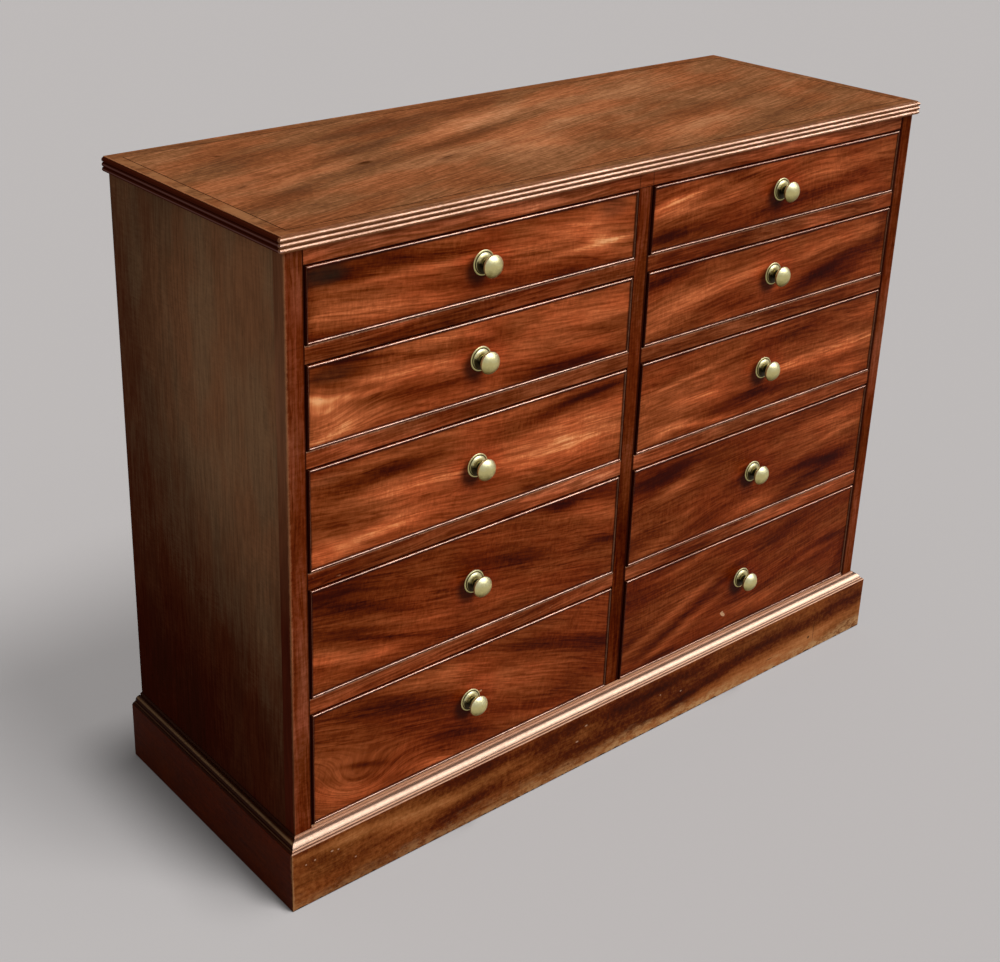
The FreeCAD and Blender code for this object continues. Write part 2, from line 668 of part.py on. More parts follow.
nut = cut("knob_nut",
          box("nut_blank", ("-Sizes.nut_width / 2", "Sizes.front_thickness", "-Sizes.nut_width / 2"),
              ("Sizes.nut_width", "Sizes.nut_thickness", "Sizes.nut_width")),
          bore("nut_bore", "Layout.stud_radius + Sizes.thread_clearance", "Layout.stud_y", "0"))


# Drawers. Each row is made once in its own frame, with x from the drawer's middle, y from the
# carcase front and z from the runners, and is then set in both columns.
def cock_bead(name, plan):
    """A mitred bead with a round nose that stands proud of the drawer front."""
    body = extruded(name, "XZ_Plane", plan, "Sizes.front_lap + Sizes.cock_bead_proud",
                    "Sizes.cock_bead_proud", backwards=True)
    nose_y = -value("Sizes.cock_bead_proud")
    doc.recompute()
    longest = max(edge.Length for edge in body.Tip.Shape.Edges)
    width = value("Sizes.cock_bead_thickness")
    return round_edges(body, "Layout.cock_bead_nose", lambda edge: (
        abs(edge.CenterOfMass.y - nose_y) < 0.01 and edge.Length > longest - 3 * width))


def cock_beads(row, low, high):
    """The four beads round one drawer front."""
    edge_x, width = "Layout.drawer_half_width", "Sizes.cock_bead_thickness"
    corners = [(f"-{edge_x}", low), (edge_x, low), (edge_x, high), (f"-{edge_x}", high)]
    inner_x, inner_low, inner_high = f"({edge_x} - {width})", f"{low} + {width}", f"{high} - {width}"
    inner = [(f"-{inner_x}", inner_low), (inner_x, inner_low), (inner_x, inner_high),
             (f"-{inner_x}", inner_high)]
    beads = []
    for number, side in enumerate(("bottom", "right", "top", "left")):
        following = (number + 1) % 4
        beads.append(cock_bead(f"{side}_bead_{row}", [
            corners[number], corners[following], inner[following], inner[number]]))
    return beads


def pin_gap(centre_z, end_y, far_y, far_half_width):
    """A gap between two tails, which the other board's pin fills; it widens from the end inwards."""
    half_width = "Sizes.pin_width / 2"
    return [(end_y, f"{centre_z} - {half_width}"), (far_y, f"{centre_z} - {far_half_width}"),
            (far_y, f"{centre_z} + {far_half_width}"), (end_y, f"{centre_z} + {half_width}")]


def dovetails(body, name, gap, length, count):
    """Cuts a comb of dovetail gaps through one end of a drawer side; length is first to last."""
    sketch = profile(body, name, "YZ_Plane", gap, "-Layout.drawer_half_width")
    slot = body.newObject("PartDesign::Pocket", name + "_slot")
    slot.Profile = sketch
    slot.Midplane = True
    bind(slot, Length="4 * Sizes.drawer_side_thickness")
    comb = body.newObject("PartDesign::LinearPattern", name + "_comb")
    comb.Originals = [slot]
    comb.Direction = (sketch, ["V_Axis"])
    bind(comb, Length=length, Occurrences=count)
    body.Tip = comb


def drawer_side(row):
    """The left side of a drawer, grooved for the bottom and dovetailed at both ends."""
    outer_x, inner_x = "-Layout.drawer_half_width", "-Layout.drawer_inner_x"
    groove_x = "-Layout.panel_half_width"
    side_height = f"Layout.side_height_{row}"
    body = extruded(f"drawer_side_{row}", "XZ_Plane", [
        (outer_x, "0"), (inner_x, "0"), (inner_x, "Layout.groove_height"),
        (groove_x, "Layout.groove_height"), (groove_x, "Layout.panel_top"),
        (inner_x, "Layout.panel_top"), (inner_x, side_height), (outer_x, side_height),
    ], "Layout.drawer_length - Sizes.front_lap", "-Layout.drawer_length")
    dovetails(body, f"front_pins_{row}",
              pin_gap("Sizes.pin_width / 2", "Sizes.front_lap", "Sizes.front_thickness",
                      "Layout.front_pin_base"),
              f"{side_height} - Sizes.pin_width", f"Sizes.tail_count_{row} + 1")
    dovetails(body, f"back_pins_{row}",
              pin_gap("Layout.panel_top + Layout.back_pin_inset", "Layout.drawer_length",
                      "Layout.drawer_back_y", "Layout.back_pin_base"),
              f"Layout.back_height_{row} - 2 * Layout.back_pin_inset", f"Sizes.tail_count_{row}")
    return body


for row in ROWS:
    side = drawer_side(row)
    other_side = mirrored(f"drawer_side_right_{row}", side)
    width = "2 * Layout.drawer_half_width"
    panel = box(f"drawer_bottom_{row}",
                ("-Layout.panel_half_width", "Sizes.front_thickness - Sizes.groove_depth",
                 "Layout.groove_height"),
                ("2 * Layout.panel_half_width",
                 "Layout.drawer_length - Sizes.front_thickness + Sizes.groove_depth",
                 "Sizes.drawer_bottom_thickness"))
    back_blank = box(
        f"drawer_back_blank_{row}",
        ("-Layout.drawer_half_width", "Layout.drawer_back_y", "Layout.panel_top"),
        (width, "Sizes.drawer_back_thickness", f"Layout.back_height_{row}"))
    back = cut(f"drawer_back_{row}", back_blank, side, other_side)
    beads = cock_beads(row, "Sizes.drawer_lift",
                       f"Sizes.drawer_lift + Layout.front_height_{row}")
    knob_z = f"Sizes.drawer_lift + Layout.front_height_{row} / 2"
    stud_hole = bore(f"stud_hole_{row}", "Layout.stud_hole_radius", "Sizes.front_thickness", knob_z)
    front_blank = box(f"drawer_front_blank_{row}",
                      ("-Layout.drawer_half_width", "0", "Sizes.drawer_lift"),
                      (width, "Sizes.front_thickness", f"Layout.front_height_{row}"))
    front = cut(f"drawer_front_{row}", front_blank, side, other_side, panel, stud_hole, *beads)
    for column, sign in (("left", "-"), ("right", "")):
        drawer = f"drawer_{column}_{row}"
        spot = {"x": f"{sign}Layout.column_x", "y": "Layout.front_y", "z": f"Layout.floor_{row}"}
        node(drawer + "_front", place(group(drawer + "_front", [front]), **spot))
        node(drawer + "_box", place(group(drawer + "_box", [side, other_side, back, panel]), **spot))
        node(drawer + "_cock_beads", place(group(drawer + "_cock_beads", beads), **spot))
        spot["z"] += f" + {knob_z}"
        node(drawer + "_knob", place(group(drawer + "_knob", [knob_turning, rose, nut]), **spot))

doc.recompute()
broken = [item.Label for item in doc.Objects if {"Invalid", "Error"} & set(item.State)]
if broken:
    raise RuntimeError(f"could not be worked out: {broken}")
os.makedirs("parts", exist_ok=True)
for item in nodes:
    if item.Shape.isNull() or not item.Shape.isValid() or not item.Shape.Solids:
        raise RuntimeError(f"{item.Label} has no sound solid")
    item.Shape.exportStep(f"parts/{item.Label}.step")
print(len(nodes), "nodes,", sum(len(item.Shape.Solids) for item in nodes), "solids")
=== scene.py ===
import math
import random

import bmesh
import bpy
from mathutils import Euler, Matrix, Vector


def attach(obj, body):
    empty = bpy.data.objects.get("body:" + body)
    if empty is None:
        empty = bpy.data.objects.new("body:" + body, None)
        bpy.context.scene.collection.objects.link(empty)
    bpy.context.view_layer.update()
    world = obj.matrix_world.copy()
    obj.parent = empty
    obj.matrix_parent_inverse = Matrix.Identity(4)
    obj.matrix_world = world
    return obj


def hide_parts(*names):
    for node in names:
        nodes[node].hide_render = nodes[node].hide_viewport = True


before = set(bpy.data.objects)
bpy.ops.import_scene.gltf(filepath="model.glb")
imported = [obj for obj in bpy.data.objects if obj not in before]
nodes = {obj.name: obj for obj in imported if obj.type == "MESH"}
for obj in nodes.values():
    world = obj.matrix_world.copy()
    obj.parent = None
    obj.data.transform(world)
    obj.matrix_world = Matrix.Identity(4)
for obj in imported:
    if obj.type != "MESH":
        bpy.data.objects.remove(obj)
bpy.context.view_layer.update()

print("frame loaded:", len(nodes), "nodes")


# lengths in the finish tables are millimetres; the scene is in metres
mm = 0.001

chest = {
    "frontY": -190.5,        # face of the stiles, rails and drawer fronts
    "columnX": 276.75,       # middle of each column of drawers
    "openingFloors": {1: 777, 2: 644, 3: 481, 4: 301, 5: 108},
    "openingHeights": {1: 97, 2: 110, 3: 140, 4: 157, 5: 170},
    "frontHalfWidth": 263.05,
}


def drawerMiddle(side, row):
    x = chest["columnX"] * (-1 if side == "left" else 1)
    z = chest["openingFloors"][row] + chest["openingHeights"][row] / 2 - 0.4
    return x, z


# camera, as the photograph was taken
cameraLook = {
    "place": (-1.4685867, -1.5771779, 1.4468139),
    "turn": (67.38693, -0.90262, -38.22556),
    "lens": 56.8811,
    "shift": (0.07232, -0.11384),
}


def addCamera(look):
    data = bpy.data.cameras.new("viewCamera")
    data.lens = look["lens"]
    data.sensor_width = 36.0
    data.sensor_fit = "HORIZONTAL"
    data.shift_x, data.shift_y = look["shift"]
    data.clip_start = 0.02
    data.clip_end = 80.0
    camera = bpy.data.objects.new("viewCamera", data)
    camera.location = look["place"]
    camera.rotation_euler = Euler([math.radians(a) for a in look["turn"]], "XYZ")
    bpy.context.scene.collection.objects.link(camera)
    bpy.context.scene.camera = camera


addCamera(cameraLook)
print("camera placed")


# small helpers for building shader trees
def put(tree, kind, inputs=None, **settings):
    node = tree.nodes.new(kind)
    for name, value in settings.items():
        setattr(node, name, value)
    for key, value in (inputs or {}).items():
        if isinstance(value, bpy.types.NodeSocket):
            tree.links.new(value, node.inputs[key])
        else:
            node.inputs[key].default_value = value
    return node


def calc(tree, operation, a, b=None, c=None, clamp=False):
    inputs = {0: a}
    if b is not None:
        inputs[1] = b
    if c is not None:
        inputs[2] = c
    return put(tree, "ShaderNodeMath", inputs, operation=operation, use_clamp=clamp).outputs[0]


def vectorCalc(tree, operation, a, b=None):
    inputs = {0: a}
    if b is not None:
        inputs["Scale" if operation == "SCALE" else 1] = b
    return put(tree, "ShaderNodeVectorMath", inputs, operation=operation).outputs[0]


def ease(tree, value, start, end, low=0.0, high=1.0):
    inputs = {"Value": value, "From Min": start, "From Max": end, "To Min": low, "To Max": high}
    return put(tree, "ShaderNodeMapRange", inputs, interpolation_type="SMOOTHSTEP").outputs[0]


def blendColour(tree, amount, below, above, kind="MIX"):
    node = tree.nodes.new("ShaderNodeMix")
    node.data_type = "RGBA"
    node.blend_type = kind
    for name, value in (("Factor_Float", amount), ("A_Color", below), ("B_Color", above)):
        socket = next(s for s in node.inputs if s.identifier == name)
        if isinstance(value, bpy.types.NodeSocket):
            tree.links.new(value, socket)
        elif name == "Factor_Float":
            socket.default_value = value
        else:
            socket.default_value = (*value, 1.0)
    return next(s for s in node.outputs if s.identifier == "Result_Color")


def ramp(tree, value, stops):
    node = put(tree, "ShaderNodeValToRGB", {0: value})
    band = node.color_ramp
    while len(band.elements) < len(stops):
        band.elements.new(0.5)
    for element, (place, colour) in zip(band.elements, stops):
        element.position = place
        element.color = (*colour, 1.0)
    return node.outputs[0]


def noise(tree, vector, scale=1.0, detail=2.0, roughness=0.5):
    inputs = {"Vector": vector, "Scale": scale, "Detail": detail, "Roughness": roughness}
    return put(tree, "ShaderNodeTexNoise", inputs)


def newGroup(name, inputs, outputs):
    group = bpy.data.node_groups.new(name, "ShaderNodeTree")
    for label, kind, start in inputs:
        socket = group.interface.new_socket(label, in_out="INPUT", socket_type="NodeSocket" + kind)
        if start is not None:
            socket.default_value = start
    for label, kind in outputs:
        group.interface.new_socket(label, in_out="OUTPUT", socket_type="NodeSocket" + kind)
    entry = group.nodes.new("NodeGroupInput").outputs
    leave = group.nodes.new("NodeGroupOutput").inputs
    return group, entry, leave


# strokes of figure with seeded places, sizes and strengths, within a given half width and height of a middle
def looseStrokes(seed, middle, halfWidth, halfHeight, count, lean=0.0, thick=(4.0, 15.0), strength=0.4):
    draw = random.Random(seed)
    strokes = []
    for number in range(count):
        x = middle[0] + draw.uniform(-1.0, 1.0) * halfWidth
        y = middle[1] + draw.uniform(-1.0, 1.0) * halfHeight
        reach = max(halfWidth, halfHeight) * draw.uniform(0.12, 0.5)
        height = draw.choice((-1.0, 1.0)) * draw.uniform(0.35, 1.0) * strength
        strokes.append((x, y, lean + draw.gauss(0.0, 5.0), reach, draw.uniform(*thick), draw.uniform(-0.5, 0.5), height))
    return strokes


# one soft, slightly bowed stroke of lighter or darker figure, added to the tone so far
def strokeGroup():
    group, entry, leave = newGroup(
        "figureStroke",
        [("Tone", "Float", 0.0), ("Sheet", "Vector", None), ("Middle", "Vector", None),
         ("Turn", "Vector", None), ("Reach", "Vector", (1.0, 1.0, 1.0)), ("Bow", "Float", 0.0),
         ("Strength", "Float", 0.0)],
        [("Tone", "Float")])
    local = put(group, "ShaderNodeMapping", {"Vector": entry["Sheet"], "Location": entry["Middle"],
                "Rotation": entry["Turn"], "Scale": entry["Reach"]}, vector_type="TEXTURE").outputs[0]
    axes = put(group, "ShaderNodeSeparateXYZ", {0: local}).outputs
    square = calc(group, "MULTIPLY", axes[0], axes[0])
    across = calc(group, "SUBTRACT", axes[1], calc(group, "MULTIPLY", square, entry["Bow"]))
    fall = calc(group, "MULTIPLY_ADD", across, across, square)
    soft = calc(group, "EXPONENT", calc(group, "MULTIPLY", fall, -1.0))
    tone = calc(group, "MULTIPLY_ADD", soft, entry["Strength"], entry["Tone"])
    group.links.new(tone, leave["Tone"])
    return group


# pulls a flat pattern into ragged ends along the grain and a slow sway across it
def raggedGroup():
    group, entry, leave = newGroup(
        "raggedSheet",
        [("Sheet", "Vector", None), ("Seed", "Float", 0.0), ("Feather", "Float", 16.0), ("Sway", "Float", 5.0)],
        [("Sheet", "Vector")])
    shift = put(group, "ShaderNodeCombineXYZ", {0: calc(group, "MULTIPLY", entry["Seed"], 73.1),
                1: calc(group, "MULTIPLY", entry["Seed"], 41.7), 2: 0.0}).outputs[0]
    place = vectorCalc(group, "ADD", entry["Sheet"], shift)
    fine = noise(group, vectorCalc(group, "MULTIPLY", place, (0.009, 0.32, 0.02)), 1.0, 3.0, 0.6).outputs[0]
    slow = noise(group, vectorCalc(group, "MULTIPLY", place, (0.012, 0.03, 0.02)), 1.0, 1.0).outputs[0]
    along = calc(group, "MULTIPLY", calc(group, "SUBTRACT", fine, 0.5), calc(group, "MULTIPLY", entry["Feather"], 4.0))
    across = calc(group, "MULTIPLY", calc(group, "SUBTRACT", slow, 0.5), calc(group, "MULTIPLY", entry["Sway"], 2.0))
    offset = put(group, "ShaderNodeCombineXYZ", {0: along, 1: across, 2: 0.0}).outputs[0]
    group.links.new(vectorCalc(group, "ADD", entry["Sheet"], offset), leave["Sheet"])
    return group


# streaks, grain lines, cross flecks and pores of the timber; the grain runs along the first axis
def grainGroup():
    group, entry, leave = newGroup(
        "timberGrain",
        [("Grain", "Vector", None), ("Seed", "Float", 0.0), ("Coarse", "Float", 1.0)],
        [(name, "Float") for name in ("Streak", "Fine", "Line", "Fleck", "Pore", "Cloud", "Mottle")])
    shift = put(group, "ShaderNodeCombineXYZ", {0: calc(group, "MULTIPLY", entry["Seed"], 131.3),
                1: calc(group, "MULTIPLY", entry["Seed"], 57.9), 2: calc(group, "MULTIPLY", entry["Seed"], 23.7)}).outputs[0]
    place = vectorCalc(group, "SCALE", vectorCalc(group, "ADD", entry["Grain"], shift), entry["Coarse"])
    swayNoise = noise(group, vectorCalc(group, "MULTIPLY", place, (0.005, 0.012, 0.012)), 1.0, 1.0).outputs[1]
    sway = vectorCalc(group, "MULTIPLY", vectorCalc(group, "SUBTRACT", swayNoise, (0.5, 0.5, 0.5)), (0.0, 18.0, 18.0))
    bent = vectorCalc(group, "ADD", place, sway)
    streak = noise(group, vectorCalc(group, "MULTIPLY", bent, (0.006, 0.09, 0.09)), 1.0, 3.0, 0.6).outputs[0]
    fine = noise(group, vectorCalc(group, "MULTIPLY", bent, (0.017, 0.27, 0.27)), 1.0, 2.0, 0.62).outputs[0]
    lines = noise(group, vectorCalc(group, "MULTIPLY", bent, (0.004, 0.13, 0.13)), 1.0, 1.0, 0.5).outputs[0]
    fleck = noise(group, vectorCalc(group, "MULTIPLY", bent, (0.3, 0.07, 0.07)), 1.0, 3.0, 0.65).outputs[0]
    cloud = noise(group, place, 0.011, 3.0, 0.6).outputs[0]
    mottle = noise(group, place, 0.14, 4.0, 0.7).outputs[0]
    pore = noise(group, vectorCalc(group, "MULTIPLY", bent, (0.06, 1.1, 1.1)), 1.0, 1.0).outputs[0]
    for name, value in (("Streak", streak), ("Cloud", cloud), ("Mottle", mottle)):
        group.links.new(calc(group, "SUBTRACT", value, 0.5), leave[name])
    group.links.new(ease(group, fine, 0.33, 0.67, -0.22, 0.22), leave["Fine"])
    crossing = calc(group, "ABSOLUTE", calc(group, "SUBTRACT", lines, 0.5))
    keep = ease(group, streak, 0.44, 0.56)
    group.links.new(calc(group, "MULTIPLY", ease(group, crossing, 0.0, 0.035, 1.0, 0.0), keep), leave["Line"])
    uneven = ease(group, cloud, 0.42, 0.6, 0.25, 1.0)
    group.links.new(calc(group, "MULTIPLY", calc(group, "SUBTRACT", fleck, 0.5), uneven), leave["Fleck"])
    group.links.new(ease(group, pore, 0.6, 0.7), leave["Pore"])
    return group


# distance in from the edge of a board centred on the sheet
def edgeGroup():
    group, entry, leave = newGroup(
        "edgeDistance", [("Sheet", "Vector", None), ("Half Width", "Float", 100.0), ("Half Height", "Float", 100.0)],
        [("Distance", "Float")])
    axes = put(group, "ShaderNodeSeparateXYZ", {0: entry["Sheet"]}).outputs
    acrossWay = calc(group, "SUBTRACT", entry["Half Width"], calc(group, "ABSOLUTE", axes[0]))
    upWay = calc(group, "SUBTRACT", entry["Half Height"], calc(group, "ABSOLUTE", axes[1]))
    group.links.new(calc(group, "MINIMUM", acrossWay, upWay), leave["Distance"])
    return group


figureStroke = strokeGroup()
raggedSheet = raggedGroup()
timberGrain = grainGroup()
edgeDistance = edgeGroup()


def useGroup(tree, group, inputs):
    node = tree.nodes.new("ShaderNodeGroup")
    node.node_tree = group
    for key, value in inputs.items():
        if isinstance(value, bpy.types.NodeSocket):
            tree.links.new(value, node.inputs[key])
        else:
            node.inputs[key].default_value = value
    return node.outputs


axisOrder = {"front": (0, 2, 1), "top": (0, 1, 2), "side": (1, 2, 0)}
grainOrder = {"along": (0, 1, 2), "up": (1, 0, 2)}


def reorder(tree, vector, order):
    axes = put(tree, "ShaderNodeSeparateXYZ", {0: vector}).outputs
    return put(tree, "ShaderNodeCombineXYZ", {i: axes[a] for i, a in enumerate(order)}).outputs[0]


# what every timber finish starts from; each piece's own table changes some of it
timberLook = {
    "plane": "front", "middle": (0.0, 0.0, 0.0), "grain": "along", "turn": 0.0, "bow": 0.0,
    "seed": 1.0, "coarse": 1.0, "base": 0.45, "strokes": [], "eyes": [], "feather": 7.0, "sway": 1.5,
    "streak": 0.26, "fine": 0.5, "line": 0.16, "fleck": 0.38, "cloud": 0.2, "mottle": 0.34, "pore": 0.3,
    "colours": None, "shade": 1.0, "redder": (1.03, 0.93, 0.86), "browner": (0.98, 1.07, 1.1),
    "roughness": 0.42, "uneven": 0.12, "specular": 0.02, "specularTint": (1.0, 0.5, 0.25),
    "coat": 0.03, "coatRoughness": 0.2, "bump": 0.25,
}


class Finish:
    pass


def startTimber(name, look):
    look = {**timberLook, **look}
    material = bpy.data.materials.new(name)
    material.use_nodes = True
    tree = material.node_tree
    tree.nodes.clear()
    work = Finish()
    work.material, work.tree, work.look = material, tree, look
    work.place = put(tree, "ShaderNodeTexCoord").outputs["Object"]
    inMm = vectorCalc(tree, "SCALE", work.place, 1000.0)
    centred = vectorCalc(tree, "SUBTRACT", inMm, look["middle"])
    work.sheet = reorder(tree, centred, axisOrder[look["plane"]])
    turned = put(tree, "ShaderNodeMapping", {"Vector": reorder(tree, work.sheet, grainOrder[look["grain"]]),
                 "Rotation": (0.0, 0.0, -math.radians(look["turn"]))}).outputs[0]
    axes = put(tree, "ShaderNodeSeparateXYZ", {0: turned}).outputs
    lift = calc(tree, "MULTIPLY", calc(tree, "MULTIPLY", axes[0], axes[0]), -look["bow"] * mm)
    for x, y, turn, reach, width, height in look["eyes"]:  # closed rings in the grain round these places
        lift = useGroup(tree, figureStroke, {
            "Tone": lift, "Sheet": work.sheet, "Middle": (x, y, 0.0), "Turn": (0.0, 0.0, math.radians(turn)),
            "Reach": (reach, width, 1.0), "Strength": height})["Tone"]
    along = vectorCalc(tree, "ADD", turned, put(tree, "ShaderNodeCombineXYZ", {1: lift}).outputs[0])
    grain = useGroup(tree, timberGrain, {"Grain": along, "Seed": look["seed"], "Coarse": look["coarse"]})
    work.grain = grain
    tone = calc(tree, "MULTIPLY_ADD", grain["Streak"], look["streak"], look["base"])
    if look["strokes"]:
        ragged = useGroup(tree, raggedSheet, {"Sheet": work.sheet, "Seed": look["seed"],
                          "Feather": look["feather"], "Sway": look["sway"]})["Sheet"]
        for x, y, turn, reach, width, bow, strength in look["strokes"]:
            tone = useGroup(tree, figureStroke, {
                "Tone": tone, "Sheet": ragged, "Middle": (x, y, 0.0), "Turn": (0.0, 0.0, math.radians(turn)),
                "Reach": (reach, width, 1.0), "Bow": bow, "Strength": strength})["Tone"]
    lively = calc(tree, "MULTIPLY", grain["Fine"], calc(tree, "MULTIPLY_ADD", tone, 0.8, 0.6))  # crisper where bright
    for value, share in ((lively, look["fine"]), (grain["Fleck"], look["fleck"]), (grain["Cloud"], look["cloud"]),
                         (grain["Mottle"], look["mottle"]), (grain["Line"], -look["line"])):
        tone = calc(tree, "MULTIPLY_ADD", value, share, tone)
    work.tone = tone
    work.colour = ramp(tree, calc(tree, "MULTIPLY_ADD", tone, 1 / 1.4, 0.2 / 1.4), look["colours"])
    hue = noise(tree, vectorCalc(tree, "MULTIPLY", along, (0.007, 0.02, 0.02)), 1.0, 2.0).outputs[0]
    tint = blendColour(tree, ease(tree, hue, 0.36, 0.64), look["redder"], look["browner"])
    work.colour = vectorCalc(tree, "MULTIPLY", work.colour, vectorCalc(tree, "SCALE", tint, look["shade"]))
    darker = vectorCalc(tree, "SCALE", work.colour, 0.45)
    work.colour = blendColour(tree, calc(tree, "MULTIPLY", grain["Pore"], look["pore"]), work.colour, darker)
    work.roughness = calc(tree, "MULTIPLY_ADD", grain["Cloud"], look["uneven"] * 2, look["roughness"])
    work.coat = look["coat"]
    work.height = calc(tree, "SUBTRACT", calc(tree, "MULTIPLY", grain["Fine"], 0.4), grain["Pore"])
    return work


def finishTimber(work):
    tree, look = work.tree, work.look
    bump = put(tree, "ShaderNodeBump", {"Strength": look["bump"], "Distance": 0.0002, "Height": work.height})
    shader = put(tree, "ShaderNodeBsdfPrincipled", {
        "Base Color": work.colour, "Roughness": work.roughness, "Specular IOR Level": look["specular"],
        "Specular Tint": (*look["specularTint"], 1.0), "Coat Weight": work.coat,
        "Coat Roughness": look["coatRoughness"], "Normal": bump.outputs[0]})
    out = put(tree, "ShaderNodeOutputMaterial", {"Surface": shader.outputs[0]})
    out.target = "ALL"
    return work.material


# boards shown with eased arrises: the merged mesh of the CAD node with a narrow bevel on the named edges
eased = {}


def easeBoard(name, body, width, wanted):
    shape = bmesh.new()
    shape.from_mesh(nodes[name].data)
    bmesh.ops.remove_doubles(shape, verts=shape.verts, dist=0.00001)
    bmesh.ops.recalc_face_normals(shape, faces=shape.faces)
    bmesh.ops.dissolve_limit(shape, angle_limit=0.02, verts=shape.verts, edges=shape.edges)
    chosen = [e for e in shape.edges if e.is_manifold and e.calc_face_angle() > 0.6
              and wanted(*(e.verts[0].co / mm), *(e.verts[1].co / mm))]
    bmesh.ops.bevel(shape, geom=chosen, offset=width * mm, segments=2, profile=0.5, affect="EDGES",
                    clamp_overlap=True)
    bmesh.ops.triangulate(shape, faces=shape.faces)
    mesh = bpy.data.meshes.new(name + "_eased")
    shape.to_mesh(mesh)
    shape.free()
    board = bpy.data.objects.new(name + "_eased", mesh)
    bpy.context.scene.collection.objects.link(board)
    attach(board, body)
    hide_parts(name)
    eased[name] = board


def dress(material, *names):
    for name in names:
        mesh = eased.get(name, nodes[name]).data
        mesh.materials.clear()
        mesh.materials.append(material)


print("shader groups built")


# colours of old polished mahogany, from the dark figure to the bright
mahogany = [
    (0.0, (0.02351, 0.0015, 0.0002)), (0.143, (0.04461, 0.0031, 0.00023)),
    (0.236, (0.08315, 0.0089, 0.00058)), (0.343, (0.1382, 0.01927, 0.0017)),
    (0.45, (0.214, 0.03986, 0.0072)), (0.557, (0.3047, 0.06397, 0.01524)),
    (0.664, (0.4438, 0.09797, 0.02749)), (0.771, (0.6085, 0.1446, 0.04528)),
    (0.879, (0.8068, 0.2668, 0.09265)), (1.0, (0.95, 0.4207, 0.1788))]
fadedTop = [
    (0.0, (0.03088, 0.01029, 0.0049)), (0.25, (0.07722, 0.02569, 0.0097)),
    (0.45, (0.1544, 0.05524, 0.02158)), (0.557, (0.2143, 0.07842, 0.02837)),
    (0.664, (0.3156, 0.117, 0.04764)), (0.771, (0.4098, 0.1615, 0.06946)),
    (0.9, (0.5406, 0.2327, 0.1098)), (1.0, (0.6489, 0.3062, 0.161))]
# colours of the ends; the pale grey end of the ramp is painted sheen
sideToneAndSheen = [
    (0.0, (0.01914, 0.0042, 0.0014)), (0.06, (0.03106, 0.0052, 0.0022)),
    (0.13, (0.0532, 0.01316, 0.0049)), (0.236, (0.0995, 0.04536, 0.02027)),
    (0.343, (0.182, 0.08407, 0.03784)), (0.5, (0.259, 0.1349, 0.06093)),
    (1.0, (0.3885, 0.2158, 0.1036))]
wornPlinth = [
    (0.0, (0.0296, 0.0035, 0.0004)), (0.236, (0.078, 0.0105, 0.0009)), (0.343, (0.125, 0.0255, 0.0034)),
    (0.45, (0.172, 0.0425, 0.0075)), (0.557, (0.23, 0.064, 0.013)), (0.664, (0.285, 0.087, 0.021)),
    (0.771, (0.34, 0.108, 0.029)), (0.879, (0.39, 0.134, 0.041)), (1.0, (0.45, 0.165, 0.055))]
agedOak = [
    (0.0, (0.09, 0.045, 0.018)), (0.35, (0.2, 0.11, 0.05)), (0.55, (0.31, 0.19, 0.095)),
    (0.8, (0.42, 0.28, 0.15)), (1.0, (0.52, 0.37, 0.22))]
agedPine = [
    (0.0, (0.1, 0.045, 0.016)), (0.35, (0.23, 0.12, 0.05)), (0.55, (0.37, 0.22, 0.105)),
    (0.8, (0.49, 0.32, 0.17)), (1.0, (0.58, 0.41, 0.25))]


# arrises rounded by a plane and by wear, in millimetres
arrisWear = {"stile": 0.9, "rail": 0.6, "plinth": 1.6}


def frontArris(ax, ay, az, bx, by, bz):
    return max(abs(ay + 190.5), abs(by + 190.5)) < 0.05 and min(az, bz) > 92.0


def plinthArris(ax, ay, az, bx, by, bz):
    upright = abs(ax - bx) < 0.05 and abs(abs(ax) - 584.0) < 0.05 and max(abs(ay + 207.5), abs(by + 207.5)) < 0.05
    return upright or (max(az, bz) < 0.05 and min(abs(abs(ax) - 567.0), abs(abs(bx) - 567.0)) > 1.0)


for stile in ("stile_left", "stile_right", "centre_muntin"):
    easeBoard(stile, "carcase", arrisWear["stile"], frontArris)
for rail in ("top_rail", "drawer_dividers"):
    easeBoard(rail, "carcase", arrisWear["rail"], frontArris)
for board in ("plinth_front", "plinth_left", "plinth_right"):
    easeBoard(board, "carcase", arrisWear["plinth"], plinthArris)
print("arrises eased:", {name: len(board.data.polygons) for name, board in eased.items()})
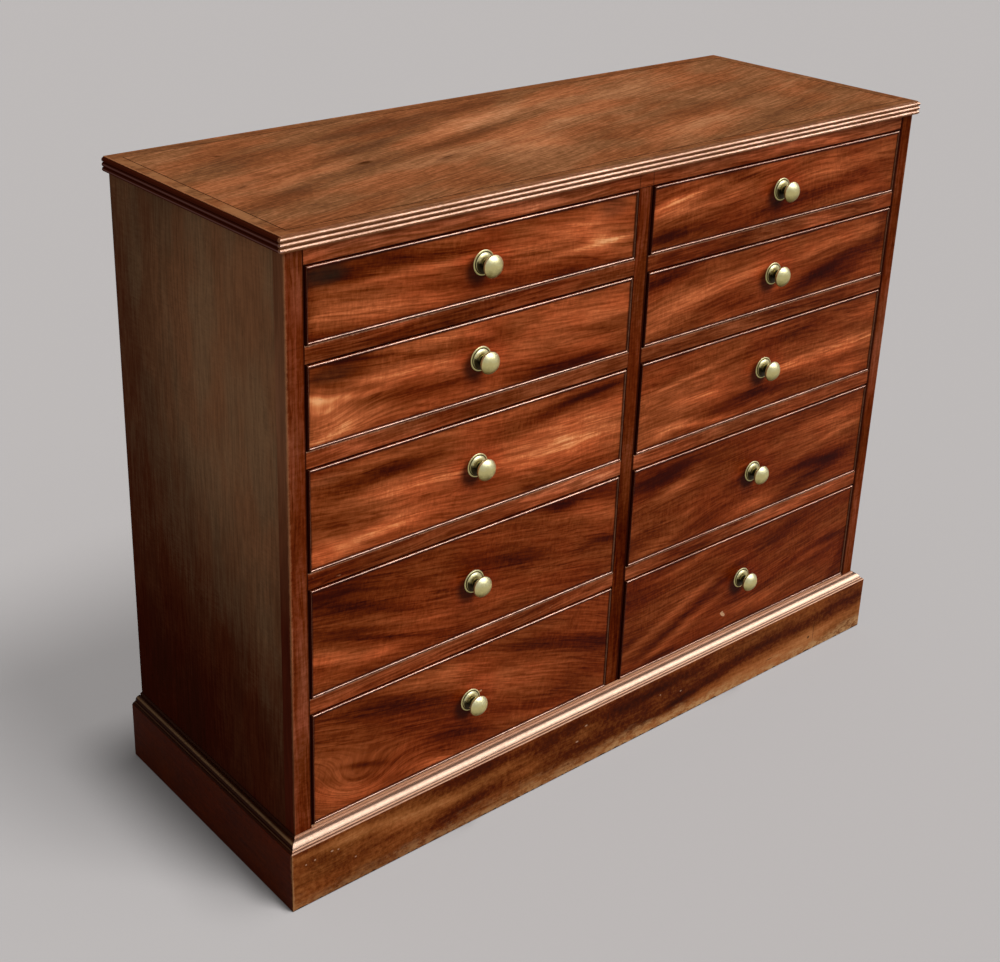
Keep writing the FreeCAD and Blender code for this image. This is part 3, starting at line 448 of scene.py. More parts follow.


# figure of each drawer front: a base tone and its main strokes, set from the middle of the front,
# each (across, up, turn in degrees, half length, half width, bow, strength)
frontFigure = {
    "left_1": (0.49, [
        (-130, -20, -3, 115, 17, -0.2, 0.32), (165, 18, 2, 110, 15, 0.2, 0.32), (-105, 27, -3, 130, 12, 0.0, -0.28),
        (-235, -40, 6, 60, 12, 0.0, -0.32), (150, -38, -2, 125, 8, 0.0, -0.28), (-262, 0, 88, 60, 12, 0.0, -0.24)]),
    "left_2": (0.58, [
        (-235, 34, -6, 75, 22, 0.0, -0.36), (-120, 12, -6, 110, 11, 0.3, 0.32), (-235, -10, -20, 60, 20, 0.4, 0.32),
        (-85, -20, -8, 110, 12, -0.4, -0.36), (150, 12, 0, 120, 20, 0.0, 0.32), (150, -44, 2, 130, 8, 0.0, -0.28),
        (28, 24, -10, 50, 14, 0.0, -0.24), (-225, -42, 14, 55, 9, 0.0, 0.32)]),
    "left_3": (0.56, [
        (-225, 44, -5, 75, 26, 0.0, -0.36), (-90, 2, -6, 140, 15, 0.2, 0.32), (165, 10, 2, 120, 24, 0.0, 0.28),
        (-170, -44, 4, 110, 13, 0.0, 0.4), (0, -24, -12, 85, 13, -0.3, -0.24), (215, 52, -3, 75, 12, 0.0, -0.24),
        (170, -58, 0, 115, 8, 0.0, -0.24)]),
    "left_4": (0.36, [
        (-215, 52, -8, 75, 26, 0.0, -0.24), (75, 8, -12, 95, 14, 0.4, -0.28), (-60, -28, -6, 150, 15, 0.2, 0.2),
        (-170, -50, 4, 95, 11, 0.0, 0.2), (195, -10, -5, 80, 18, 0.0, 0.2), (190, 64, -5, 105, 12, 0.0, -0.2)]),
    "left_5": (0.41, [
        (-110, 38, -18, 115, 20, -0.4, -0.36), (-200, -45, -15, 80, 34, 0.3, 0.32), (-55, 58, -6, 85, 13, 0.4, 0.32),
        (62, 8, -12, 110, 18, 0.0, 0.24), (125, 42, -15, 110, 12, 0.0, -0.28), (205, -42, 10, 80, 28, 0.0, -0.16),
        (-35, -48, -10, 90, 18, 0.0, -0.16)]),
    "right_1": (0.41, [
        (-150, 10, 4, 120, 14, 0.0, 0.28), (-215, -28, 2, 80, 12, 0.0, -0.24), (120, 14, 4, 130, 12, 0.2, 0.28),
        (40, -22, 5, 130, 10, 0.0, -0.28), (190, -28, 6, 80, 10, 0.0, 0.2)]),
    "right_2": (0.47, [
        (-200, -8, 6, 80, 18, 0.0, 0.24), (-240, 38, 0, 60, 15, 0.0, -0.28), (-70, 10, 8, 115, 11, 0.0, 0.32),
        (-95, -34, 8, 140, 9, 0.0, -0.32), (150, -10, 10, 120, 13, -0.4, -0.36), (150, 22, 6, 105, 10, 0.0, 0.32),
        (250, 28, 82, 50, 14, 0.0, -0.24)]),
    "right_3": (0.43, [
        (-160, -4, 3, 130, 22, 0.0, 0.28), (85, 42, 4, 150, 13, 0.0, -0.28), (150, -14, 5, 110, 17, 0.0, 0.28),
        (-15, -36, 5, 135, 12, -0.3, -0.28), (-210, -50, 5, 65, 11, 0.0, 0.28)]),
    "right_4": (0.365, [
        (-180, 46, -4, 115, 22, 0.0, -0.28), (-170, -46, 12, 110, 17, 0.4, 0.32), (130, 28, 8, 135, 18, 0.0, 0.24),
        (-35, -10, 14, 140, 11, 0.0, -0.28), (170, -42, 16, 100, 13, 0.0, -0.28)]),
    "right_5": (0.33, [
        (-235, 50, 10, 60, 26, 0.0, -0.2), (-160, -12, 20, 110, 9, 0.0, 0.28), (-120, -42, 20, 110, 8, 0.0, 0.24),
        (-150, -34, 22, 100, 7, 0.0, -0.24), (170, -8, 18, 95, 20, -0.6, 0.32), (252, -50, 60, 60, 18, 0.0, -0.24),
        (70, 46, 12, 120, 13, 0.0, -0.24)]),
}
# eyes in the grain: (across, up, turn, half length, half width, swell of the grain lines)
frontEyes = {
    "left_5": [(-193, -51, -15, 76, 42, 50)],
    "left_2": [(-262, -27, 0, 90, 38, 42)],
    "right_4": [(-150, -70, 0, 80, 40, 18)],
}
# small dark stains of old polish on some fronts: (across, up, half length, half width, strength)
frontStains = {
    "left_1": [(-236, 33, 34, 16, 0.75), (218, 32, 28, 15, 0.4)],
    "left_2": [(-226, 34, 36, 12, 0.35)],
    "left_3": [(-240, 50, 36, 10, 0.2)],
    "right_2": [(238, 38, 28, 12, 0.2)],
}
# pale chips in the polish: (across, up, half length, half width, turn)
frontChips = {
    "right_5": [(-36, -54, 7, 3.2, -38), (-39, -50, 4, 2, 20)],
    "left_5": [(18, 7, 3, 1.6, 0)],
}


def radialMask(tree, sheet, x, y, width, height, inner, outer, turn=0.0):
    local = put(tree, "ShaderNodeMapping", {"Vector": sheet, "Location": (x, y, 0.0),
                "Rotation": (0.0, 0.0, math.radians(turn)), "Scale": (width, height, 1.0)},
                vector_type="TEXTURE").outputs[0]
    flat = vectorCalc(tree, "MULTIPLY", local, (1.0, 1.0, 0.0))
    far = put(tree, "ShaderNodeVectorMath", {0: flat}, operation="LENGTH").outputs["Value"]
    return ease(tree, far, inner, outer, 1.0, 0.0)


frontLook = {
    "colours": mahogany, "roughness": 0.4, "coat": 0.04, "coatRoughness": 0.16,
    "stain": (0.014, 0.011, 0.006), "chip": (0.6, 0.33, 0.17), "paintedShade": (0.022, 0.0035, 0.0015),
    "beadShadow": 0.8, "knobShadow": 0.85, "knobGlow": (1.0, 0.8, 0.74),
}
# slope and bend of the grain on each front, in degrees and per metre
frontFlow = {
    "left_1": (-6, 0.0), "left_2": (-5, 0.1), "left_3": (-5, 0.1), "left_4": (-10, 0.0), "left_5": (-17, -0.2),
    "right_1": (4, -0.1), "right_2": (3, -0.1), "right_3": (0, -0.1), "right_4": (1, -0.1), "right_5": (4, 0.2)}


def drawerFrontFinish(side, row):
    key = f"{side}_{row}"
    base, strokes = frontFigure[key]
    x, z = drawerMiddle(side, row)
    seed = row + (0.37 if side == "left" else 6.11)
    turn, bow = frontFlow[key]
    strokes = strokes + looseStrokes(key, (0.0, 0.0), 255.0, chest["openingHeights"][row] / 2 - 6.0, 9, turn)
    work = startTimber("frontVeneer_" + key, {**frontLook, "middle": (x, 0.0, z), "base": base,
                       "strokes": strokes, "seed": seed, "turn": turn, "bow": bow, "eyes": frontEyes.get(key, [])})
    tree, look = work.tree, work.look
    glow = radialMask(tree, work.sheet, -4.0, 2.0, 1.0, 0.8, 16.0, 62.0)
    work.colour = blendColour(tree, glow, work.colour, vectorCalc(tree, "MULTIPLY", work.colour, look["knobGlow"]))
    broken = calc(tree, "MULTIPLY_ADD", work.grain["Streak"], 0.9, calc(tree, "MULTIPLY", work.grain["Fleck"], 0.9))
    for sx, sy, reach, width, strength in frontStains.get(key, []):
        mask = radialMask(tree, work.sheet, sx, sy, reach, width, 0.35, 1.35)
        mask = calc(tree, "MULTIPLY", calc(tree, "ADD", mask, calc(tree, "MULTIPLY", broken, mask)), strength, clamp=True)
        work.colour = blendColour(tree, mask, work.colour, look["stain"])
    # painted shadow of the knob, dark to the lower left of the rose
    knob = radialMask(tree, work.sheet, -9.0, -7.0, 1.0, 1.0, 12.0, 26.0)
    work.colour = blendColour(tree, calc(tree, "MULTIPLY", knob, look["knobShadow"]), work.colour, look["paintedShade"])
    # painted shade along the inner edge of the cock bead, all round the front
    halfHeight = (chest["openingHeights"][row] - 2.4) / 2 - 3.2
    inward = useGroup(tree, edgeDistance, {"Sheet": work.sheet, "Half Width": chest["frontHalfWidth"] - 3.2,
                      "Half Height": halfHeight})["Distance"]
    uneven = calc(tree, "MULTIPLY_ADD", work.grain["Cloud"], 4.0, inward)
    line = ease(tree, uneven, 0.4, 3.2, look["beadShadow"], 0.0)
    work.colour = blendColour(tree, line, work.colour, look["paintedShade"])
    for cx, cy, reach, width, turn in frontChips.get(key, []):
        mask = radialMask(tree, work.sheet, cx, cy, reach, width, 0.8, 1.0, turn)
        work.colour = blendColour(tree, mask, work.colour, look["chip"])
    return finishTimber(work)


for side in ("left", "right"):
    for row in range(1, 6):
        dress(drawerFrontFinish(side, row), f"drawer_{side}_{row}_front")
print("drawer fronts finished")


# cock beads: plain dark mahogany with a hard polish that catches the light
beadLook = {
    "colours": mahogany, "base": 0.12, "seed": 3.3, "roughness": 0.4,
    "coat": 0.5, "coatRoughness": 0.24, "specular": 0.0, "fleck": 0.3, "cloud": 0.5,
    "shadow": (0.022, 0.003, 0.0012), "rub": (0.3, 0.13, 0.07),
}


def beadFinish():
    work = startTimber("cockBeadPolish", beadLook)
    tree = work.tree
    axes = put(tree, "ShaderNodeSeparateXYZ", {0: work.sheet}).outputs
    rubbed = ease(tree, calc(tree, "ADD", work.grain["Cloud"], work.grain["Mottle"]), -0.12, 0.14, 0.55, 1.0)
    dulled = ease(tree, axes[0], -200.0, 200.0, 1.1, 0.6)
    work.coat = calc(tree, "MULTIPLY", calc(tree, "MULTIPLY", rubbed, dulled), work.look["coat"])
    # the upright beads are painted near black as shade, with a faint broken pale line along the inner side painted as
    # their highlight
    across = calc(tree, "ABSOLUTE", calc(tree, "SUBTRACT", calc(tree, "ABSOLUTE", axes[0]), chest["columnX"]))
    inner = chest["frontHalfWidth"] - 3.2
    upright = ease(tree, across, inner - 0.4, inner)
    outer = ease(tree, across, inner + 0.7, inner + 1.3)
    worn = calc(tree, "MULTIPLY", rubbed, calc(tree, "SUBTRACT", 1.0, outer))
    colour = blendColour(tree, calc(tree, "MULTIPLY", worn, 0.6), work.look["shadow"], work.look["rub"])
    work.colour = blendColour(tree, upright, work.colour, colour)
    work.coat = calc(tree, "MULTIPLY", work.coat, calc(tree, "SUBTRACT", 1.0, upright))
    return finishTimber(work)


dress(beadFinish(), *[n for n in nodes if n.endswith("_cock_beads")])


# rails and dividers: strokes are from the middle of the chest and the floor
railLook = {
    "colours": mahogany, "base": 0.44, "grain": "along", "seed": 8.2, "streak": 0.35, "fine": 0.7,
    "fleck": 0.3, "cloud": 0.45, "mottle": 0.3, "coat": 0.03, "roughness": 0.4,
    "redder": (1.0, 0.98, 1.1), "browner": (0.94, 1.13, 1.5), "undersides": (874.0, 754.0, 621.0, 458.0, 278.0),
    "arrises": (777.0, 644.0, 481.0, 301.0),
    "strokes": [
        (0, 884, 0, 900, 9, 0, 0.18), (276, 289, 0, 300, 9, 0, 0.12), (-276, 765, 0, 300, 9, 0, -0.06),
        (-276, 289, 0, 300, 9, 0, -0.05), (276, 632, 0, 300, 9, 0, -0.06),
        *[stroke for height in (884.0, 765.5, 632.5, 469.5, 289.5)
          for stroke in looseStrokes(height, (0.0, height), 535.0, 2.0, 8, 0.0, (11.0, 17.0), 0.22)],
    ],
}


def railFinish():
    work = startTimber("railMahogany", railLook)
    tree = work.tree
    axes = put(tree, "ShaderNodeSeparateXYZ", {0: work.sheet}).outputs
    scuff = noise(tree, vectorCalc(tree, "MULTIPLY", work.sheet, (0.05, 0.12, 0.1)), 1.0, 4.0, 0.7).outputs[0]
    marks = ease(tree, scuff, 0.66, 0.72, 0.0, 0.5)
    work.colour = blendColour(tree, marks, work.colour, (0.4, 0.17, 0.08))
    joint = calc(tree, "ABSOLUTE", calc(tree, "SUBTRACT", calc(tree, "ABSOLUTE", axes[0]), 541.0))
    inner = calc(tree, "ABSOLUTE", calc(tree, "SUBTRACT", calc(tree, "ABSOLUTE", axes[0]), 12.5))
    gap = calc(tree, "MAXIMUM", ease(tree, joint, 0.2, 1.0, 0.3, 0.0), ease(tree, inner, 0.3, 1.4, 0.55, 0.0))
    work.colour = blendColour(tree, gap, work.colour, (0.02, 0.004, 0.002))
    # painted shade beneath the arris over each opening, and along the arris below it a broken pale line, painted
    # highlight and partly wear
    for height in railLook["undersides"]:
        away = calc(tree, "ABSOLUTE", calc(tree, "SUBTRACT", axes[1], height))
        work.colour = blendColour(tree, ease(tree, away, 0.3, 1.7, 0.85, 0.0), work.colour, (0.02, 0.003, 0.0015))
    for height in railLook["arrises"]:
        away = calc(tree, "ABSOLUTE", calc(tree, "SUBTRACT", axes[1], height))
        away = calc(tree, "MULTIPLY_ADD", work.grain["Fleck"], -5.0, away)
        work.colour = blendColour(tree, ease(tree, away, 0.4, 1.8, 0.55, 0.0), work.colour, (0.62, 0.34, 0.2))
    return finishTimber(work)


dress(railFinish(), "top_rail", "drawer_dividers")


# stiles and muntin: upright grain; the strokes are as on the rails
uprightLook = {
    "colours": mahogany, "base": 0.24, "grain": "up", "streak": 0.3, "fine": 0.4, "fleck": 0.3, "cloud": 0.4,
    "feather": 2.0, "sway": 1.0, "coat": 0.01, "specular": 0.0, "roughness": 0.38, "innerEdge": 541.0,
    "redder": (1.04, 1.18, 2.3), "browner": (1.0, 1.34, 2.8),
    "worn": (0.36, 0.15, 0.065), "jointHeights": (88.0, 301.0, 278.0, 481.0, 458.0, 644.0, 621.0, 777.0, 754.0, 874.0),
}
# the outer face of the stiles is near black below and painted paler under the top, the same painted sheen as on the
# ends
stileReturn = [(0.45, (0.05, 0.008, 0.003)), (0.62, (0.11, 0.036, 0.015)), (0.78, (0.17, 0.072, 0.035)), (0.95, (0.12, 0.045, 0.02))]
uprightStrokes = {
    name: looseStrokes(name, (x, 480.0), 0.0, 380.0, 6, 90.0, (16.0, 20.0), 0.2)
    for name, x in (("stile_left", -554.0), ("stile_right", 554.0), ("centre_muntin", 0.0))}


def uprightFinish(name, arris):
    work = startTimber(name, {**uprightLook, "strokes": uprightStrokes[name], "seed": 11.0 + arris * 0.01})
    tree, look = work.tree, work.look
    axes = put(tree, "ShaderNodeSeparateXYZ", {0: work.sheet}).outputs
    across = calc(tree, "ABSOLUTE", axes[0])
    for height in look["jointHeights"]:
        line = calc(tree, "ABSOLUTE", calc(tree, "SUBTRACT", axes[1], height))
        broken = calc(tree, "MULTIPLY_ADD", work.grain["Fleck"], 1.5, line)
        work.colour = blendColour(tree, ease(tree, broken, 0.2, 0.9, 0.15, 0.0), work.colour, (0.02, 0.003, 0.0015))
    # the shadow along the beads: narrow on the left stile, wider on the right one and on the right of the muntin
    if arris:
        start, end = (0.8, 2.8) if arris < 0 else (2.5, 7.0)
        shade = ease(tree, across, look["innerEdge"] + start, look["innerEdge"] + end, 0.85, 0.0)
    else:
        shade = ease(tree, axes[0], 7.5, 9.5, 0.0, 0.85)
    work.colour = blendColour(tree, shade, work.colour, (0.014, 0.002, 0.001))
    if arris:
        # the outer face carries the finish of the end of the chest, painted sheen included
        ownSide = ramp(tree, calc(tree, "MULTIPLY", axes[1], 1 / 900), stileReturn)
        faded = calc(tree, "MULTIPLY_ADD", work.grain["Streak"], 0.7, 1.0)
        faded = calc(tree, "MULTIPLY_ADD", work.grain["Fine"], 0.5, faded)
        ownSide = vectorCalc(tree, "SCALE", ownSide, faded)
        work.colour = blendColour(tree, ease(tree, across, 566.3, 566.8), work.colour, ownSide)
        fromEdge = calc(tree, "ABSOLUTE", calc(tree, "SUBTRACT", axes[0], arris))
        fromFace = calc(tree, "ABSOLUTE", calc(tree, "SUBTRACT", axes[2], chest["frontY"]))
        near = calc(tree, "MAXIMUM", fromEdge, fromFace)
        rub = calc(tree, "MULTIPLY_ADD", calc(tree, "ADD", work.grain["Cloud"], work.grain["Mottle"]), -5.0, near)
        higher = ease(tree, axes[1], 150.0, 500.0, 0.15, 0.55)
        work.colour = blendColour(tree, calc(tree, "MULTIPLY", ease(tree, rub, 0.6, 3.4, 1.0, 0.0), higher),
                                  work.colour, look["worn"])
    return finishTimber(work)


dress(uprightFinish("stile_left", -567.0), "stile_left")
dress(uprightFinish("stile_right", 567.0), "stile_right")
dress(uprightFinish("centre_muntin", 0.0), "centre_muntin")
print("carcase front finished")


# the top: faded, with broad slanting figure; strokes are from the middle of the front edge of the carcase
topLook = {
    "plane": "top", "middle": (0.0, -190.5, 0.0), "colours": fadedTop, "grain": "along", "seed": 21.4,
    "streak": 0.2, "fine": 0.42, "line": 0.1, "fleck": 0.25, "cloud": 0.35, "mottle": 0.55, "feather": 6.0,
    "sway": 2.5, "turn": 14.0, "crests": (903.9, 897.2), "crestColour": (0.13, 0.06, 0.05),
    "roughness": 0.4, "specular": 0.0, "coat": 0.0, "coatRoughness": 0.25,
    "base": 0.63,
    "nosing": (0.2, 0.07, 0.022), "nosingSide": (0.045, 0.008, 0.003),
    "knots": [(-455, 222, 16, 7, 12, 0.5), (-318, 190, 17, 7, 10, 0.75), (-505, 185, 14, 6, 25, 0.35),
              (-455, 325, 9, 3.5, -30, 0.5), (-395, 175, 6, 4, 0, 0.5), (-212, 150, 26, 8, 14, 0.5)],
    "strokes": [
        (-430, 200, 14, 130, 60, 0.4, 0.25), (-330, 235, 16, 190, 22, 0.0, -0.3), (-150, 215, 16, 160, 18, 0.3, -0.3),
        (30, 300, 14, 300, 30, 0.0, 0.15), (330, 150, 10, 220, 30, 0.0, -0.15), (-170, 335, 8, 300, 26, 0.0, -0.25),
        *looseStrokes("top", (0.0, 210.0), 540.0, 180.0, 12, 12.0, (8.0, 32.0), 0.25),
    ],
}


def topFinish():
    work = startTimber("topVeneer", topLook)
    tree, look = work.tree, work.look
    axes = put(tree, "ShaderNodeSeparateXYZ", {0: vectorCalc(tree, "SCALE", work.place, 1000.0)}).outputs
    for x, y, reach, width, turn, strength in look["knots"]:
        mask = radialMask(tree, work.sheet, x, y, reach, width, 0.2, 1.3, turn)
        mask = calc(tree, "MULTIPLY", mask, calc(tree, "MULTIPLY_ADD", work.grain["Fine"], 2.0, strength), clamp=True)
        work.colour = blendColour(tree, mask, work.colour, (0.05, 0.013, 0.004))
    # reeded nosing: bright rubbed polish along the front, dark on the ends
    isFront = ease(tree, axes[1], -190.5, -192.0)
    isEnd = ease(tree, calc(tree, "ABSOLUTE", axes[0]), 569.5, 570.5)
    below = ease(tree, axes[2], 913.6, 913.0)
    work.colour = blendColour(tree, calc(tree, "MULTIPLY", isEnd, below), work.colour, look["nosingSide"])
    work.colour = blendColour(tree, calc(tree, "MULTIPLY", isFront, below), work.colour, look["nosing"])
    # painted highlight: faint pale lines along the reed crests on the ends
    crest = calc(tree, "MINIMUM", calc(tree, "ABSOLUTE", calc(tree, "SUBTRACT", axes[2], look["crests"][0])),
                 calc(tree, "ABSOLUTE", calc(tree, "SUBTRACT", axes[2], look["crests"][1])))
    crest = calc(tree, "MULTIPLY", ease(tree, crest, 0.3, 1.3, 0.75, 0.0), isEnd)
    work.colour = blendColour(tree, crest, work.colour, look["crestColour"])
    rub = ease(tree, calc(tree, "ADD", work.grain["Cloud"], work.grain["Mottle"]), -0.14, 0.14, 0.24, 0.38)
    rub = calc(tree, "MULTIPLY", rub, ease(tree, axes[0], -100.0, 500.0, 1.0, 0.82))
    work.coat = calc(tree, "MAXIMUM", calc(tree, "MULTIPLY", isFront, rub), look["coat"])
    rim = ease(tree, calc(tree, "MULTIPLY_ADD", work.grain["Cloud"], 12.0, axes[0]), -566.0, -571.0)
    work.colour = blendColour(tree, calc(tree, "MULTIPLY", rim, ease(tree, axes[2], 913.5, 914.0)), work.colour, (0.3, 0.12, 0.05))
    return finishTimber(work)


bandLook = {**topLook, "knots": [], "strokes": [], "base": 0.55, "seed": 5.5, "fine": 0.5, "turn": 0.0}


def bandingFinish():
    work = startTimber("topBanding", bandLook)
    tree = work.tree
    axes = put(tree, "ShaderNodeSeparateXYZ", {0: vectorCalc(tree, "SCALE", work.place, 1000.0)}).outputs
    worn = noise(tree, vectorCalc(tree, "SCALE", work.place, 1000.0), 0.02, 4.0, 0.65).outputs[0]
    leftEnd = ease(tree, axes[0], -540.0, -560.0)
    patch = calc(tree, "MULTIPLY", ease(tree, worn, 0.42, 0.62, 0.0, 0.6), leftEnd)
    work.colour = blendColour(tree, patch, work.colour, (0.36, 0.16, 0.065))
    return finishTimber(work)


stringLook = {**topLook, "knots": [], "strokes": [], "base": -0.12, "seed": 7.7}
dress(topFinish(), "top_board")
dress(bandingFinish(), "top_crossbanding")
dress(finishTimber(startTimber("darkString", stringLook)), "top_string_line")
print("top finished")


# the ends: a painted sheen of reflected light above a slanting line, near black below; strokes are from the front face
# and the floor
sideLook = {
    "plane": "side", "middle": (0.0, -190.5, 0.0), "colours": sideToneAndSheen, "grain": "up", "seed": 31.0,
    "streak": 0.09, "fine": 0.22, "fleck": 0.12, "cloud": 0.12, "feather": 12.0, "sway": 5.0,
    "mottle": 0.06, "roughness": 0.45, "specular": 0.0, "coat": 0.0, "coatRoughness": 0.22, "line": 0.02,
    "base": -0.03,
    "strokes": [
        (60, 740, 62, 400, 330, 0.0, 0.26), (150, 560, 70, 240, 120, 0.5, 0.08), (300, 150, 72, 200, 260, 0.0, -0.12),
        *looseStrokes("side", (206.0, 600.0), 180.0, 280.0, 5, 80.0, (20.0, 50.0), 0.05),
    ],
}


def sideFinish():
    work = startTimber("endMahogany", sideLook)
    tree = work.tree
    work.coat = ease(tree, work.tone, -0.1, 0.3, 0.0, 0.05)
    return finishTimber(work)


dress(sideFinish(), "side_left", "side_right")


# plinth: dull and mottled, rubbed pale towards the floor; the ends are nearly black
plinthLook = {
    "colours": wornPlinth, "grain": "along", "seed": 41.0, "streak": 0.35, "fine": 0.35, "fleck": 0.2,
    "cloud": 0.9, "mottle": 1.0, "feather": 5.0, "sway": 2.0, "roughness": 0.46, "coat": 0.02, "base": 0.43,
    "redder": (1.02, 0.96, 0.92), "browner": (0.98, 1.05, 1.06), "line": 0.05,
    "bare": (0.5, 0.275, 0.115), "arris": (0.36, 0.17, 0.07), "dirt": (0.02, 0.008, 0.003), "arrisWear": 0.8,
    "wornShare": 0.95, "chipFrom": 0.47,
    # a drying crack, a bruise and a few pale nicks: (across, up, half width, half height)
    "cracks": [(459, 36, 0.9, 24), (447, 27, 4.0, 3.0), (350, 22, 9.0, 1.0), (-20, 66, 0.8, 9)],
    "nicks": [(-562, 66, 1.6, 1.4), (-548, 67, 1.8, 1.5), (-521, 68, 2.6, 1.6), (-511, 66, 1.8, 1.3), (-483, 40, 2.0, 1.2),
              (-65, 69, 3.2, 1.6), (-82, 48, 3.4, 1.5), (138, 47, 2.2, 1.4), (92, 58, 1.6, 1.2)],
    "strokes": [
        (400, 54, 0, 260, 14, 0.0, -0.35), (-560, 84, -30, 60, 24, 0.0, -0.3), (-60, 34, 2, 170, 16, -0.3, -0.35),
        (-250, 62, 2, 240, 10, 0.2, 0.3), (430, 24, 4, 210, 20, 0.3, 0.3), (120, 8, 0, 330, 12, 0.4, 0.35),
        *looseStrokes("plinth", (0.0, 46.0), 570.0, 38.0, 12, 1.0, (5.0, 18.0), 0.4),
    ],
}


def plinthFinish(name, extra):
    work = startTimber(name, {**plinthLook, **extra})
    tree, look = work.tree, work.look
    inMm = vectorCalc(tree, "SCALE", work.place, 1000.0)
    axes = put(tree, "ShaderNodeSeparateXYZ", {0: inMm}).outputs
    patches = noise(tree, vectorCalc(tree, "MULTIPLY", inMm, (0.011, 0.011, 0.05)), 1.0, 5.0, 0.7).outputs[0]
    wear = calc(tree, "MULTIPLY_ADD", calc(tree, "SUBTRACT", patches, 0.5), -55.0, axes[2])
    further = ease(tree, axes[0], -550.0, 150.0, 0.35, 1.0)
    spotty = noise(tree, vectorCalc(tree, "MULTIPLY", inMm, (0.07, 0.07, 0.14)), 1.0, 5.0, 0.75).outputs[0]
    lower = calc(tree, "MULTIPLY", ease(tree, wear, 0.0, 26.0, look["wornShare"], 0.0), further)
    lower = calc(tree, "MULTIPLY", lower, ease(tree, spotty, 0.42, 0.56, 0.15, 1.0))
    work.colour = blendColour(tree, lower, work.colour, look["bare"])
    corner = calc(tree, "MAXIMUM", calc(tree, "ABSOLUTE", calc(tree, "ADD", calc(tree, "ABSOLUTE", axes[0]), -584.0)),
                  calc(tree, "ABSOLUTE", calc(tree, "ADD", axes[1], 207.5)))
    rub = calc(tree, "MULTIPLY_ADD", calc(tree, "ADD", work.grain["Cloud"], work.grain["Mottle"]), -7.0, corner)
    work.colour = blendColour(tree, ease(tree, rub, 0.6, 2.8, look["arrisWear"], 0.0), work.colour, look["arris"])
    chips = noise(tree, vectorCalc(tree, "MULTIPLY", inMm, (0.09, 0.09, 0.12)), 1.0, 3.0, 0.7).outputs[0]
    low = ease(tree, axes[2], 0.6, 6.0, look["chipFrom"], 0.95)
    broken = ease(tree, calc(tree, "SUBTRACT", chips, low), -0.02, 0.03)
    for x, z, width, height in look["cracks"]:
        mark = radialMask(tree, work.sheet, x, z, width, height, 0.5, 1.1)
        broken = calc(tree, "MAXIMUM", broken, calc(tree, "MULTIPLY", mark, 0.75))
    work.colour = blendColour(tree, broken, work.colour, look["dirt"])
    for x, z, width, height in look["nicks"]:
        mark = radialMask(tree, work.sheet, x, z, width, height, 0.5, 1.1)
        work.colour = blendColour(tree, calc(tree, "MULTIPLY", mark, 0.7), work.colour, (0.55, 0.33, 0.2))
    work.height = calc(tree, "SUBTRACT", work.height, calc(tree, "MULTIPLY", broken, 2.0))
    return finishTimber(work)


dress(plinthFinish("plinthFront", {}), "plinth_front")
endPlinth = {"plane": "side", "strokes": [], "cracks": [], "nicks": [], "base": -0.04, "wornShare": 0.0, "coat": 0.0,
             "specular": 0.02, "cloud": 0.3, "streak": 0.1, "mottle": 0.4, "chipFrom": 0.95, "shade": 0.95,
             "arrisWear": 0.35}
dress(plinthFinish("plinthEnds", endPlinth), "plinth_left", "plinth_right")

# moulding on the plinth: a bead, a broad ovolo and two reeds, each with its own pale colour, partly wear and partly
# painted highlight, the ovolo nearly cream
mouldingLook = {
    "colours": mahogany, "base": 0.36, "grain": "along", "seed": 47.0, "roughness": 0.42, "cloud": 0.5,
    "mottle": 0.5, "coat": 0.3, "coatRoughness": 0.5, "specular": 0.04,
    "bead": (0.3, 0.155, 0.09), "ovolo": (0.84, 0.6, 0.44), "reed": (0.46, 0.26, 0.16), "gap": (0.085, 0.03, 0.014),
    "beadCoat": 0.12, "ovoloCoat": 0.36, "reedCoat": 0.16,
    "endTone": (0.018, 0.0035, 0.001), "endLine": (0.12, 0.065, 0.03),
}


